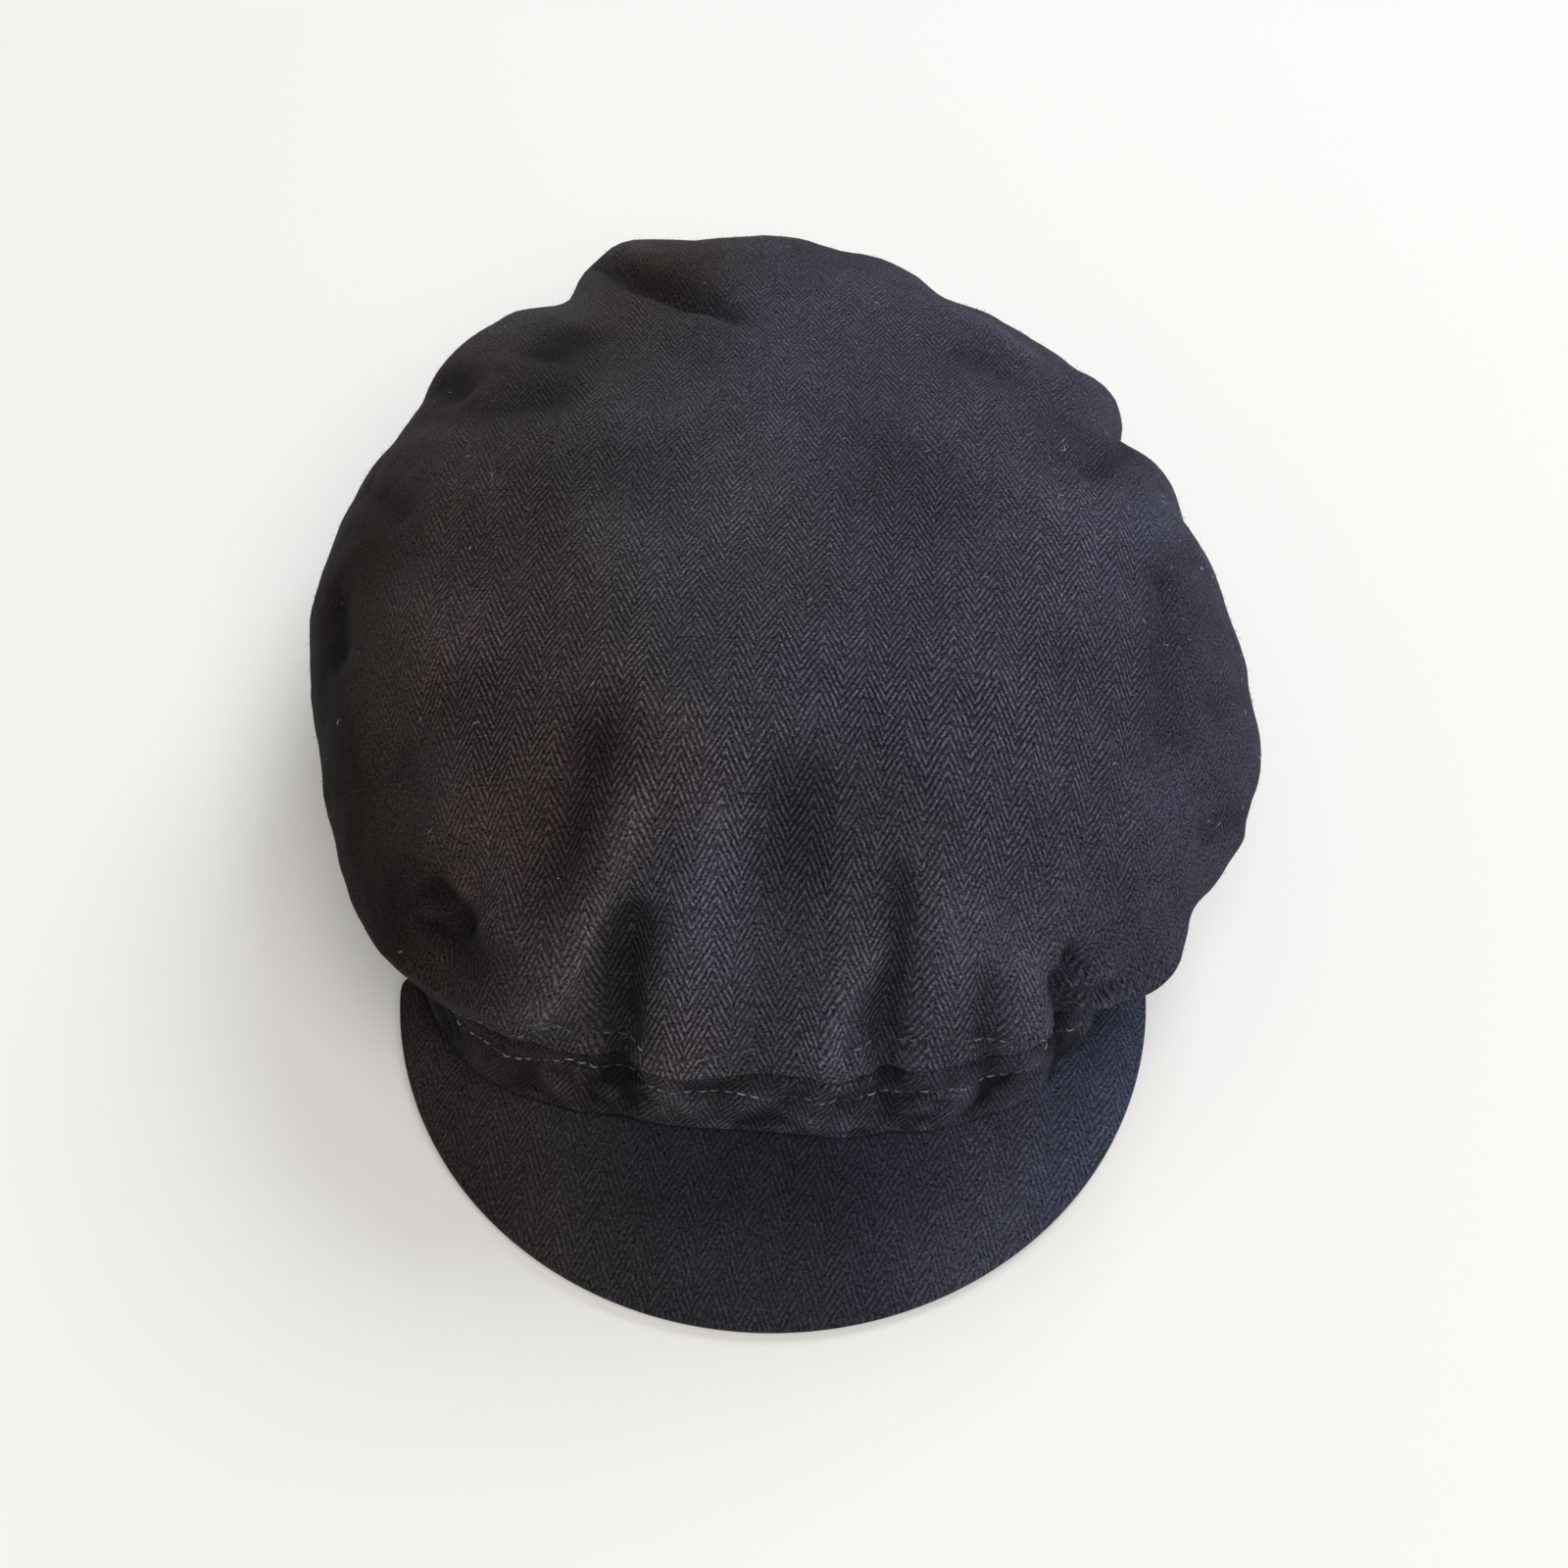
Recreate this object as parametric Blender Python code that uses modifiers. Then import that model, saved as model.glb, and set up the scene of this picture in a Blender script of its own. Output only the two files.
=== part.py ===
"""A soft fiddler cap, lying as it does when it is put down.

A full crown is gathered onto an upright band, and a short covered peak is tucked under the band's
front. The cap rests on the back of its band and on the tip of its peak, which holds the band's front
off the ground. X is to the right, the peak points to -Y, and Z is up. The origin is under the middle.
"""

import math

import bmesh
import bpy
from mathutils import Matrix, Vector

# Band, in metres
BAND_HALF_WIDTH = 0.0900
BAND_FRONT_REACH = 0.0965
BAND_BACK_REACH = 0.0920
BAND_HEIGHT = 0.0230
BAND_WALL = 0.0025
BAND_FRONT_LIFT = 0.0200
BAND_FRONT_SQUARENESS = 3.0
BAND_BACK_SQUARENESS = 2.1
BAND_TURN = math.radians(-5.0)
LIFT_STARTS = math.radians(10.0)
LIFT_IS_FULL = math.radians(75.0)

# Crown, in metres, with its reaches measured from its own middle
CROWN_SET_BACK = 0.0350
CROWN_HALF_WIDTH = 0.1205
CROWN_FRONT_REACH = 0.1325
CROWN_BACK_REACH = 0.1400
CROWN_MIDDLE_HEIGHT = 0.0950
CROWN_FRONT_SQUARENESS = 2.45
CROWN_BACK_SQUARENESS = 2.05
RIM_FRONT_HEIGHT = 0.0475
RIM_SIDE_HEIGHT = 0.0500
RIM_BACK_HEIGHT = 0.0500
CROWN_WALL = 0.0016
FOLD_DEPTH = 0.0050
RIM_PUCKER = 0.0100
DENT_FADE = 4
BUMP_REACH = 1.5

# Peak, in metres
PEAK_HALF_WIDTH = 0.0950
PEAK_REACH = 0.0925
PEAK_SET_FORWARD = 0.0450
PEAK_THICKNESS = 0.0030
PEAK_SIDE_RISE = 0.0015
PEAK_ARCH = 0.0012
PEAK_TUCK = 0.0020
PEAK_HALF_SPAN = math.radians(60.0)
PEAK_END_TURN = math.radians(93.0)

# Clear space between pieces that are sewn together
SEAM_GAP = 0.0003

COLUMNS = 120
FRONT = -math.pi / 2

# The crown's sections from its rim to its middle. "out" is the share of the way from the middle to the
# rim, and the others are the share of the height from the rim to the middle, at the front, side and back.
CROWN_SECTIONS = (
    {"out": 1.000, "front": 0.000, "side": 0.00, "back": 0.00},
    {"out": 0.982, "front": 0.035, "side": 0.18, "back": 0.20},
    {"out": 0.940, "front": 0.125, "side": 0.37, "back": 0.35},
    {"out": 0.870, "front": 0.335, "side": 0.57, "back": 0.46},
    {"out": 0.780, "front": 0.635, "side": 0.74, "back": 0.54},
    {"out": 0.680, "front": 0.905, "side": 0.87, "back": 0.61},
    {"out": 0.570, "front": 1.060, "side": 0.95, "back": 0.68},
    {"out": 0.450, "front": 1.115, "side": 1.00, "back": 0.76},
    {"out": 0.320, "front": 1.120, "side": 1.01, "back": 0.84},
    {"out": 0.190, "front": 1.075, "side": 1.01, "back": 0.91},
    {"out": 0.080, "front": 1.025, "side": 1.00, "back": 0.97},
)

# The share of the way from the seam to the crown's middle that lies under the rim, and the shares along
# which the seam holds the folds as shallow as the band takes them.
UNDER_SHARE = 0.30
FRONT_HOLD = 0.29
BACK_HOLD = 0.12

# The crown's underside from the band's seam to the rim, as shares of the way out and of the way up at
# the front and at the back.
UNDER_SECTIONS = (
    {"out": 0.00, "front": 0.00, "back": 0.00},
    {"out": 0.00, "front": 0.25, "back": 0.05},
    {"out": 0.38, "front": 0.38, "back": 0.16},
    {"out": 0.74, "front": 0.66, "back": 0.44},
    {"out": 0.95, "front": 0.86, "back": 0.76},
)

# The folds that rise from the band's seam. "at" is the angle round the cap in degrees from its right
# side, where the front is -90. "drift" is how far the fold moves by its upper end, "wide" is half its
# width, both in degrees. "depth" is a share of FOLD_DEPTH, inward where it is positive, "crest" and
# "end" are shares of the way from the seam to the crown's middle, and "band" is the share of the depth
# that the band takes.
FOLDS = (
    {"at": -150, "drift": 0, "wide": 6, "depth": -0.30, "crest": 0.36, "end": 0.56, "band": 0.0},
    {"at": -138, "drift": 2, "wide": 5, "depth": 0.80, "crest": 0.34, "end": 0.52, "band": 0.3},
    {"at": -124, "drift": 1, "wide": 5, "depth": -0.60, "crest": 0.42, "end": 0.74, "band": 0.3},
    {"at": -113, "drift": 2, "wide": 6, "depth": 0.90, "crest": 0.40, "end": 0.68, "band": 0.9},
    {"at": -100, "drift": 0, "wide": 5, "depth": -0.25, "crest": 0.50, "end": 0.76, "band": 0.1},
    {"at": -92, "drift": 0, "wide": 5, "depth": 0.20, "crest": 0.48, "end": 0.74, "band": 0.0},
    {"at": -83, "drift": 3, "wide": 4, "depth": -0.45, "crest": 0.40, "end": 0.66, "band": 0.8},
    {"at": -76, "drift": 5, "wide": 4, "depth": 0.65, "crest": 0.42, "end": 0.64, "band": 0.9},
    {"at": -64, "drift": 1, "wide": 6, "depth": -0.30, "crest": 0.44, "end": 0.66, "band": 0.2},
    {"at": -53, "drift": 4, "wide": 4, "depth": 0.90, "crest": 0.38, "end": 0.52, "band": 0.6},
    {"at": -44, "drift": 2, "wide": 5, "depth": -0.30, "crest": 0.36, "end": 0.52, "band": 0.0},
    {"at": -20, "drift": 0, "wide": 9, "depth": 0.60, "crest": 0.18, "end": 0.40, "band": 0.1},
    {"at": 12, "drift": 0, "wide": 9, "depth": 0.60, "crest": 0.18, "end": 0.40, "band": 0.1},
    {"at": 40, "drift": 0, "wide": 9, "depth": 0.60, "crest": 0.18, "end": 0.40, "band": 0.1},
    {"at": 62, "drift": 0, "wide": 8, "depth": 0.60, "crest": 0.18, "end": 0.44, "band": 0.1},
    {"at": 84, "drift": 0, "wide": 8, "depth": 0.60, "crest": 0.18, "end": 0.42, "band": 0.1},
    {"at": 109, "drift": 0, "wide": 4, "depth": 0.90, "crest": 0.34, "end": 0.60, "band": 0.1},
    {"at": 128, "drift": 0, "wide": 7, "depth": 0.50, "crest": 0.18, "end": 0.40, "band": 0.1},
    {"at": 150, "drift": 0, "wide": 9, "depth": 0.60, "crest": 0.18, "end": 0.40, "band": 0.1},
    {"at": 180, "drift": 0, "wide": 9, "depth": 0.60, "crest": 0.18, "end": 0.44, "band": 0.1},
)

# The dents in the rim's outline, seen from above. "at" is the angle round the crown's own middle and
# "wide" half the dent's width, both in degrees. "depth" is a share of RIM_PUCKER, inward where it is
# positive.
RIM_DENTS = (
    {"at": -50, "wide": 6, "depth": -0.50},
    {"at": -34, "wide": 7, "depth": -0.25},
    {"at": -21, "wide": 8, "depth": -0.45},
    {"at": 14, "wide": 16, "depth": 0.75},
    {"at": 28, "wide": 7, "depth": 1.60},
    {"at": 50, "wide": 15, "depth": 1.40},
    {"at": 66, "wide": 9, "depth": 1.40},
    {"at": 80, "wide": 8, "depth": 0.35},
    {"at": 108, "wide": 7, "depth": -0.85},
    {"at": 118, "wide": 6, "depth": 0.65},
    {"at": 152, "wide": 14, "depth": 0.65},
    {"at": 190, "wide": 7, "depth": 0.20},
    {"at": 209, "wide": 15, "depth": 0.55},
    {"at": 231, "wide": 6, "depth": -0.15},
)

# The band's closed section, from the lower edge of its outer face over the seam to the lower edge of its
# inner face. "in" is a share of its wall, and "up" of its height.
BAND_SECTION = (
    {"in": 0.0, "up": 0.00},
    {"in": 0.0, "up": 0.35},
    {"in": 0.0, "up": 0.70},
    {"in": 0.0, "up": 1.00},
    {"in": 1.0, "up": 1.00},
    {"in": 1.0, "up": 0.50},
    {"in": 1.0, "up": 0.00},
)

# The peak's top from the band's face to its edge. "out" is the share of the way to the edge, and
# "arch" the share of PEAK_ARCH that it stands above a straight slope.
PEAK_SECTIONS = (
    {"out": 0.00, "arch": 0.0},
    {"out": 0.18, "arch": 0.6},
    {"out": 0.45, "arch": 1.0},
    {"out": 0.75, "arch": 0.8},
    {"out": 0.96, "arch": 0.2},
)

CLOTH_COLOUR = (0.0320, 0.0310, 0.0370, 1.0)
CLOTH_ROUGHNESS = 0.92


def smooth_step(share):
    """Gives 0 to 1 with no corner at either end."""
    share = min(max(share, 0.0), 1.0)
    return share * share * (3.0 - 2.0 * share)


def angle_between(first, second):
    """Gives the signed turn from the second angle to the first, in radians."""
    return (first - second + math.pi) % (2.0 * math.pi) - math.pi


def bump(distance, half_width):
    """Gives a round bump of height 1 that ends at BUMP_REACH times its half width."""
    return smooth_step(1.0 - abs(distance) / (BUMP_REACH * half_width))


def oval_radius(angle, half_width, reach, squareness):
    """Gives how far an oval reaches in a direction. Its squareness is 2 for a plain oval."""
    across = abs(math.cos(angle)) / half_width
    along = abs(math.sin(angle)) / reach
    return (across**squareness + along**squareness) ** (-1.0 / squareness)


def fold_depth(angle, share):
    """Gives how far the folds push the cloth inward, at a share of the way from the seam to the middle."""
    depth = 0.0
    held = BACK_HOLD + (FRONT_HOLD - BACK_HOLD) * max(-math.sin(angle), 0.0)
    for fold in FOLDS:
        free = max(share - held, 0.0) / (fold["end"] - held)
        middle = math.radians(fold["at"] + fold["drift"] * free)
        across = bump(angle_between(angle, middle), math.radians(fold["wide"]))
        if share < fold["crest"]:
            grown = smooth_step((share - held) / (fold["crest"] - held))
            along = fold["band"] + (1.0 - fold["band"]) * grown
        else:
            along = 1.0 - smooth_step((share - fold["crest"]) / (fold["end"] - fold["crest"]))
        depth += fold["depth"] * across * along
    return depth * FOLD_DEPTH


def front_lift(angle):
    """Gives how far the band's lower edge is off the ground."""
    from_side = math.pi / 2 - abs(angle_between(angle, FRONT))
    return BAND_FRONT_LIFT * smooth_step((from_side - LIFT_STARTS) / (LIFT_IS_FULL - LIFT_STARTS))


def band_plan(angle, inset, folded):
    """Gives the band's plan at an angle, inset from its outer face, with a share of the folds."""
    own_angle = angle - BAND_TURN
    reach, squareness = BAND_FRONT_REACH, BAND_FRONT_SQUARENESS
    if math.sin(own_angle) > 0:
        reach, squareness = BAND_BACK_REACH, BAND_BACK_SQUARENESS
    radius = oval_radius(own_angle, BAND_HALF_WIDTH, reach, squareness)
    radius -= inset + folded * fold_depth(angle, 0.0)
    return Vector((radius * math.cos(angle), radius * math.sin(angle), 0.0))


def rim_point(angle, dented=1.0):
    """Gives a point of the crown's rim, with a share of the dents of its outline."""
    reach, squareness, end_height = CROWN_FRONT_REACH, CROWN_FRONT_SQUARENESS, RIM_FRONT_HEIGHT
    if math.sin(angle) > 0:
        reach, squareness, end_height = CROWN_BACK_REACH, CROWN_BACK_SQUARENESS, RIM_BACK_HEIGHT
    radius = oval_radius(angle, CROWN_HALF_WIDTH, reach, squareness)
    for dent in RIM_DENTS:
        turn = angle_between(angle, math.radians(dent["at"]))
        radius -= dented * RIM_PUCKER * dent["depth"] * bump(turn, math.radians(dent["wide"]))
    height = RIM_SIDE_HEIGHT + (end_height - RIM_SIDE_HEIGHT) * math.sin(angle) ** 2
    return Vector((radius * math.cos(angle), CROWN_SET_BACK + radius * math.sin(angle), height))


def crown_rows():
    """Gives the crown's smooth rows of points from the seam to the middle, and each row's share."""
    middle = Vector((0.0, CROWN_SET_BACK, CROWN_MIDDLE_HEIGHT))
    seams, ways = [], []
    for column in range(COLUMNS):
        angle = 2.0 * math.pi * column / COLUMNS
        seam = band_plan(angle, 0.0, 0.0)
        seam.z = front_lift(angle) + BAND_HEIGHT + SEAM_GAP
        seams.append(seam)
        ways.append(math.atan2(seam.y - CROWN_SET_BACK, seam.x))
    rows, shares = [], []
    for section in UNDER_SECTIONS:
        row = []
        for seam, way in zip(seams, ways):
            rim = rim_point(way)
            to_front = max(-math.sin(way), 0.0)
            up = section["back"] + (section["front"] - section["back"]) * to_front
            point = seam.lerp(rim, section["out"])
            point.z = seam.z + (rim.z - seam.z) * up
            row.append(point)
        rows.append(row)
        shares.append(UNDER_SHARE * section["out"])
    for section in CROWN_SECTIONS:
        row = []
        for way in ways:
            rim = rim_point(way, section["out"] ** DENT_FADE)
            end = section["back"] if math.sin(way) > 0 else section["front"]
            rise = section["side"] + (end - section["side"]) * math.sin(way) ** 2
            point = middle.lerp(rim, section["out"])
            point.z = rim.z + (middle.z - rim.z) * rise
            row.append(point)
        rows.append(row)
        shares.append(1.0 - (1.0 - UNDER_SHARE) * section["out"])
    return rows, shares, middle


def fold_rows(rows, shares):
    """Presses the folds into smooth rows: level under the rim, and square to the surface above it."""
    folded = []
    for index, share in enumerate(shares):
        above = rows[min(index + 1, len(rows) - 1)]
        below = rows[max(index - 1, 0)]
        row = []
        for column in range(COLUMNS):
            angle = 2.0 * math.pi * column / COLUMNS
            if share < UNDER_SHARE:
                outward = Vector((math.cos(angle), math.sin(angle), 0.0))
            else:
                along = rows[index][(column + 1) % COLUMNS] - rows[index][column - 1]
                outward = along.cross(above[column] - below[column]).normalized()
            row.append(rows[index][column] - outward * fold_depth(angle, share))
        folded.append(row)
    return folded


def new_piece(name, mesh_data, collection):
    """Makes a named object from a bmesh, with its own cloth."""
    mesh = bpy.data.meshes.new(name)
    bmesh.ops.recalc_face_normals(mesh_data, faces=mesh_data.faces)
    mesh_data.to_mesh(mesh)
    mesh_data.free()
    mesh.shade_smooth()
    piece = bpy.data.objects.new(name, mesh)
    collection.objects.link(piece)
    cloth = bpy.data.materials.new(name + "_cloth")
    cloth.use_nodes = True
    shader = cloth.node_tree.nodes["Principled BSDF"]
    shader.inputs["Base Color"].default_value = CLOTH_COLOUR
    shader.inputs["Roughness"].default_value = CLOTH_ROUGHNESS
    shader.inputs["Metallic"].default_value = 0.0
    mesh.materials.append(cloth)
    return piece


def bridge(mesh_data, first, second, closed):
    """Joins two rows of vertices with four-sided faces."""
    count = len(first)
    for column in range(count if closed else count - 1):
        after = (column + 1) % count
        mesh_data.faces.new((first[column], first[after], second[after], second[column]))


def make_crown(collection):
    """Lofts the crown as an open sheet from the seam to its middle and thickens it inward."""
    rows, shares, middle = crown_rows()
    mesh_data = bmesh.new()
    rings = [[mesh_data.verts.new(point) for point in row] for row in fold_rows(rows, shares)]
    for lower, upper in zip(rings, rings[1:]):
        bridge(mesh_data, lower, upper, closed=True)
    top = mesh_data.verts.new(middle)
    for column in range(COLUMNS):
        mesh_data.faces.new((rings[-1][column], rings[-1][(column + 1) % COLUMNS], top))
    crown = new_piece("crown", mesh_data, collection)
    wall = crown.modifiers.new("wall", "SOLIDIFY")
    wall.thickness = CROWN_WALL
    wall.offset = -1.0
    return crown


def make_band(collection):
    """Lofts the band's closed section round the head. The folds fade toward the sewn lower edge."""
    mesh_data = bmesh.new()
    rings = []
    for section in BAND_SECTION:
        ring = []
        for column in range(COLUMNS):
            angle = 2.0 * math.pi * column / COLUMNS
            point = band_plan(angle, section["in"] * BAND_WALL, smooth_step(section["up"]))
            point.z = front_lift(angle) + section["up"] * BAND_HEIGHT
            ring.append(mesh_data.verts.new(point))
        rings.append(ring)
    for lower, upper in zip(rings, rings[1:] + rings[:1]):
        bridge(mesh_data, lower, upper, closed=True)
    return new_piece("band", mesh_data, collection)


def peak_column(angle):
    """Gives the closed section of the peak at an angle: its top going out, its edge, its underside."""
    share = angle_between(angle, FRONT) / PEAK_HALF_SPAN
    seat = front_lift(angle) - SEAM_GAP
    inner = band_plan(angle, PEAK_TUCK, 0.0)
    start = band_plan(angle, 0.0, 0.0)
    turn = FRONT + share * PEAK_END_TURN
    edge = Vector((PEAK_HALF_WIDTH * math.cos(turn), PEAK_REACH * math.sin(turn) - PEAK_SET_FORWARD, 0.0))
    edge_top = PEAK_THICKNESS + PEAK_SIDE_RISE * smooth_step(abs(share))
    top = [Vector((inner.x, inner.y, seat))]
    for section in PEAK_SECTIONS:
        point = start.lerp(edge, section["out"])
        point.z = seat + (edge_top - seat) * section["out"] + PEAK_ARCH * section["arch"]
        top.append(point)
    underside = [Vector((point.x, point.y, point.z - PEAK_THICKNESS)) for point in reversed(top)]
    edge.z = edge_top - PEAK_THICKNESS / 2.0
    return top + [edge] + underside


def make_peak(collection):
    """Lofts the peak from one end to the other, under the band's front."""
    mesh_data = bmesh.new()
    step = 2.0 * math.pi / COLUMNS
    half = round(PEAK_HALF_SPAN / step)
    sections = []
    for column in range(-half, half + 1):
        sections.append([mesh_data.verts.new(point) for point in peak_column(FRONT + column * step)])
    for first, second in zip(sections, sections[1:]):
        bridge(mesh_data, first, second, closed=True)
    for end in (sections[0], sections[-1]):
        mesh_data.faces.new(end)
    return new_piece("peak", mesh_data, collection)


def centre_on_origin(pieces):
    """Moves the pieces together so that the middle of their plan is at the origin."""
    corners = [vertex.co for piece in pieces for vertex in piece.data.vertices]
    middle_x = (min(corner.x for corner in corners) + max(corner.x for corner in corners)) / 2.0
    middle_y = (min(corner.y for corner in corners) + max(corner.y for corner in corners)) / 2.0
    for piece in pieces:
        piece.data.transform(Matrix.Translation((-middle_x, -middle_y, 0.0)))


def main():
    for old in list(bpy.data.objects):
        bpy.data.objects.remove(old)
    collection = bpy.data.collections.new("fiddler_cap")
    bpy.context.scene.collection.children.link(collection)
    pieces = [make_crown(collection), make_band(collection), make_peak(collection)]
    centre_on_origin(pieces)


main()
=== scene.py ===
"""A soft fiddler cap of near-black herringbone cloth, lying on a pale floor.

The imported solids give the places. The crown, band and peak are made here again as fine cloth, with the
same outline, the gathers over the band, the puckers of the rim, the seam and its stitching. X is to the
right, the peak points to -Y, and Z is up.
"""

import math

import bpy
import numpy as np
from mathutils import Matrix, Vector


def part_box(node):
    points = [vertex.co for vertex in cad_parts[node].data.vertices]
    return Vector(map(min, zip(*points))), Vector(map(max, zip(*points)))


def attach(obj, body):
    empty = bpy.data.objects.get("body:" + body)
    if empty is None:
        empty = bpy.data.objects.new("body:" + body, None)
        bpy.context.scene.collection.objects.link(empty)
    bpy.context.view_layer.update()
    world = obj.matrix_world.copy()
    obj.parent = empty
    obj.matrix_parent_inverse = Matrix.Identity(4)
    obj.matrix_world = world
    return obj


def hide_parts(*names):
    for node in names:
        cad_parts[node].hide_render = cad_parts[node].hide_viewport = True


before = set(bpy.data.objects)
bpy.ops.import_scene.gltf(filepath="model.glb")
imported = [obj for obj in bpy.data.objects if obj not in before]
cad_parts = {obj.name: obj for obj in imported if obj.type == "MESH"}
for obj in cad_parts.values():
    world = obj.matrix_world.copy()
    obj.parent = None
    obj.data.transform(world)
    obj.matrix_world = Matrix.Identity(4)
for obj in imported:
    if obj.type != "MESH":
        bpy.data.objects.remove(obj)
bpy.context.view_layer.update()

MM = 0.001
TINY = 1e-12
FRONT = -math.pi / 2


def table(names, rows):
    """Gives the rows of a table by the names of their columns."""
    return [dict(zip(names.split(), row)) for row in rows]


# Band, in metres
BAND_HALF_WIDTH = 0.0900
BAND_FRONT_REACH = 0.0965
BAND_BACK_REACH = 0.0920
BAND_HEIGHT = 0.0230
BAND_WALL = 0.0025
BAND_FRONT_LIFT = 0.0200
BAND_FRONT_SQUARENESS = 3.0
BAND_BACK_SQUARENESS = 2.1
BAND_TURN = math.radians(-5.0)
LIFT_STARTS = math.radians(10.0)
LIFT_IS_FULL = math.radians(75.0)
SEAM_GAP = 0.0003

# Crown, in metres, with its reaches measured from its own middle
CROWN_SET_BACK = 0.0350
CROWN_HALF_WIDTH = 0.1205
CROWN_FRONT_REACH = 0.1325
CROWN_BACK_REACH = 0.1400
CROWN_MIDDLE_HEIGHT = 0.0950
CROWN_FRONT_SQUARENESS = 2.45
CROWN_BACK_SQUARENESS = 2.05
RIM_FRONT_HEIGHT = 0.0475
RIM_SIDE_HEIGHT = 0.0500
RIM_BACK_HEIGHT = 0.0500
CLOTH_WALL = 0.0016
FOLD_DEPTH = 0.0050
RIM_PUCKER = 0.0100
DENT_FADE = 4
BUMP_REACH = 1.5

# Peak, in metres
PEAK_HALF_WIDTH = 0.0950
PEAK_REACH = 0.0925
PEAK_SET_FORWARD = 0.0450
PEAK_THICKNESS = 0.0030
PEAK_SIDE_RISE = 0.0015
PEAK_ARCH = 0.0012
PEAK_TUCK = 0.0020
PEAK_HALF_SPAN = math.radians(60.0)
PEAK_END_TURN = math.radians(93.0)

# The peak's finish, as shares: where its ends start to round off and how far they do, where its top ends and
# its edge starts to turn down, by steps in degrees, where its ripples calm down, and the groove round it
PEAK_ROUNDS_FROM = 0.93
PEAK_ROUNDS_BY = 0.94
PEAK_TOP_ENDS = 0.985
PEAK_EDGE_TURNS = (50.0, 90.0, 130.0)
PEAK_ENDS_CALM = 0.08
PEAK_SEAT_CALM = 0.15
PEAK_EDGE_CALM = 0.12
PEAK_GROOVE = 0.30 * MM
PEAK_GROOVE_IN = 5.0 / 60.0
PEAK_GROOVE_WIDE = 1.0 / 60.0

# The head's middle, from the peak's solid, which lies evenly to both sides of it
peak_low, peak_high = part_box("peak")
HEAD_X = (peak_low.x + peak_high.x) / 2.0
HEAD_Y = peak_low.y + PEAK_REACH + PEAK_SET_FORWARD

# How fine the cloth is: columns round the cap, closest at the front, and rows up each piece
COLUMNS = 520
FRONT_CROWDING = 0.30
CROWN_ROWS = 168
SEAM_CROWDING = 1.25
LINING_STEP = 4
LINING_ROWS = 36
LAID_STEPS = 40
BAND_ROWS = 30
BAND_LINING_ROWS = 6
PEAK_COLUMNS = 301
PEAK_ROWS = 60

# The crown's seam on the band: how far it leans back at the front, how much lower and further in the rim
# lies there than on the solid, and the seam's groove
SEAM_LEAN = 0.0028
RIM_DROP = 0.0020
RIM_SET_IN = 0.0030
SEAM_TUCK = 0.0013
SEAM_ROUNDING = 0.0020
LINING_TUCK_ENDS = 0.04

# The share of the way up, past the rim, over which the cloth goes from pressed in level to pressed squarely
SQUARE_BY = 0.08

# How the folds across the seam go over into the crown's creases, as lengths up the cloth from the seam
SEAM_FOLDS_FULL = 0.0020
SEAM_FOLDS_FADE = 0.0160
CREASES_START = 0.0015
CREASES_GROW = 0.0090

# The creases' shape: how far one is felt, in its own widths, how sharply crisp and soft ones fall off, and
# the share of its length over which its ends fade
CREASE_FELT = 3.2
CRISP_POWER = 1.25
SOFT_POWER = 2.0
CREASE_ENDS = 0.3

# The seam's small puckers: their spacing, half widths and lean in degrees, their depth in millimetres, and
# where they end, as shares of their reach
PUCKER_SPACING = 2.3
PUCKER_SHIFT = 1.0
PUCKER_WIDE = (0.35, 0.8)
PUCKER_LEAN = 3.0
PUCKER_DEEP = 0.45
PUCKER_ENDS = (0.5, 1.2)
CROWN_PUCKERS_REACH = 0.36
BAND_PUCKERS_REACH = 0.5

# The cloth's painted light and shade, from painted shade, brownish dark, at the left to painted light,
# bluish, at the right, and how unevenly it goes
PAINTED_LIGHT_WAY = (1.0, 0.15)
PAINTED_LIGHT_REACH = 0.110
PAINTED_LIGHT_DRIFT = 0.035
PAINTED_LIGHT_DRIFT_LENGTH = 0.070

# The press in millimetres that fully darkens a crease as painted shade and fully lightens a ridge, partly by
# rubbing and partly as a painted highlight
FULL_SHADE_AND_RUBBING = 2.5

# The two rows of stitches, one over the seam and one under it
STITCH_PITCH = 0.0031
STITCH_LENGTH = 0.0022
STITCH_RADIUS = 0.00022
CROWN_STITCHES_UP = 0.0086
BAND_STITCHES_DOWN = 0.0078
STITCH_SIDES = 6
STITCH_ENDS = 0.35
STITCH_SHIFT = 0.15 * MM
STITCH_DIP = 0.35 * MM
STITCH_DIP_WIDE = 0.9 * MM

# How high a stitch stands off the cloth along its length, in its own radii
STITCH_RISE = (-1.2, 0.75, 1.15, 1.2, 1.1, 0.7, -1.2)

# The wool's fine hairs, and the lint that lies on it
HAIRS = 9000
HAIR_RADIUS = 0.032 * MM
HAIR_SIDES = 3
HAIR_LEAN = 0.55
HAIR_CURL = 0.35
HAIR_LENGTHS = (0.30, 1.05)
HAIR_ROOT = 0.1 * MM
HAIR_ELBOW = 0.55
HAIR_ENDS = 0.5
LINT_MORE = 220
LINT_RADIUS = 0.085 * MM
LINT_SIDES = 4
LINT_POINTS = 6
LINT_BEND = 0.35
LINT_BOW_MIDDLE = 0.08
LINT_STANDS = 0.10 * MM + 0.5 * LINT_RADIUS
LINT_ARCH = 0.18 * MM
LINT_ENDS = 0.4
LINT_LENGTHS = (0.25, 1.5)
LINT_LENGTHS_POWER = 1.5

# The strewn lint lies mostly at the right and back: the least of it elsewhere, and from where it grows and
# over what length, in metres
LINT_LEAST = 0.15
LINT_RIGHT = (-0.02, 0.10)
LINT_BACK = (-0.05, 0.06)

# How all threads taper, as shares of their length, and a way that none of them runs along
THREAD_TAPER = (0.0, 0.2, 0.8, 1.0)
THREADS_TURN_FROM = (0.31, 0.17, 0.93)

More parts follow.
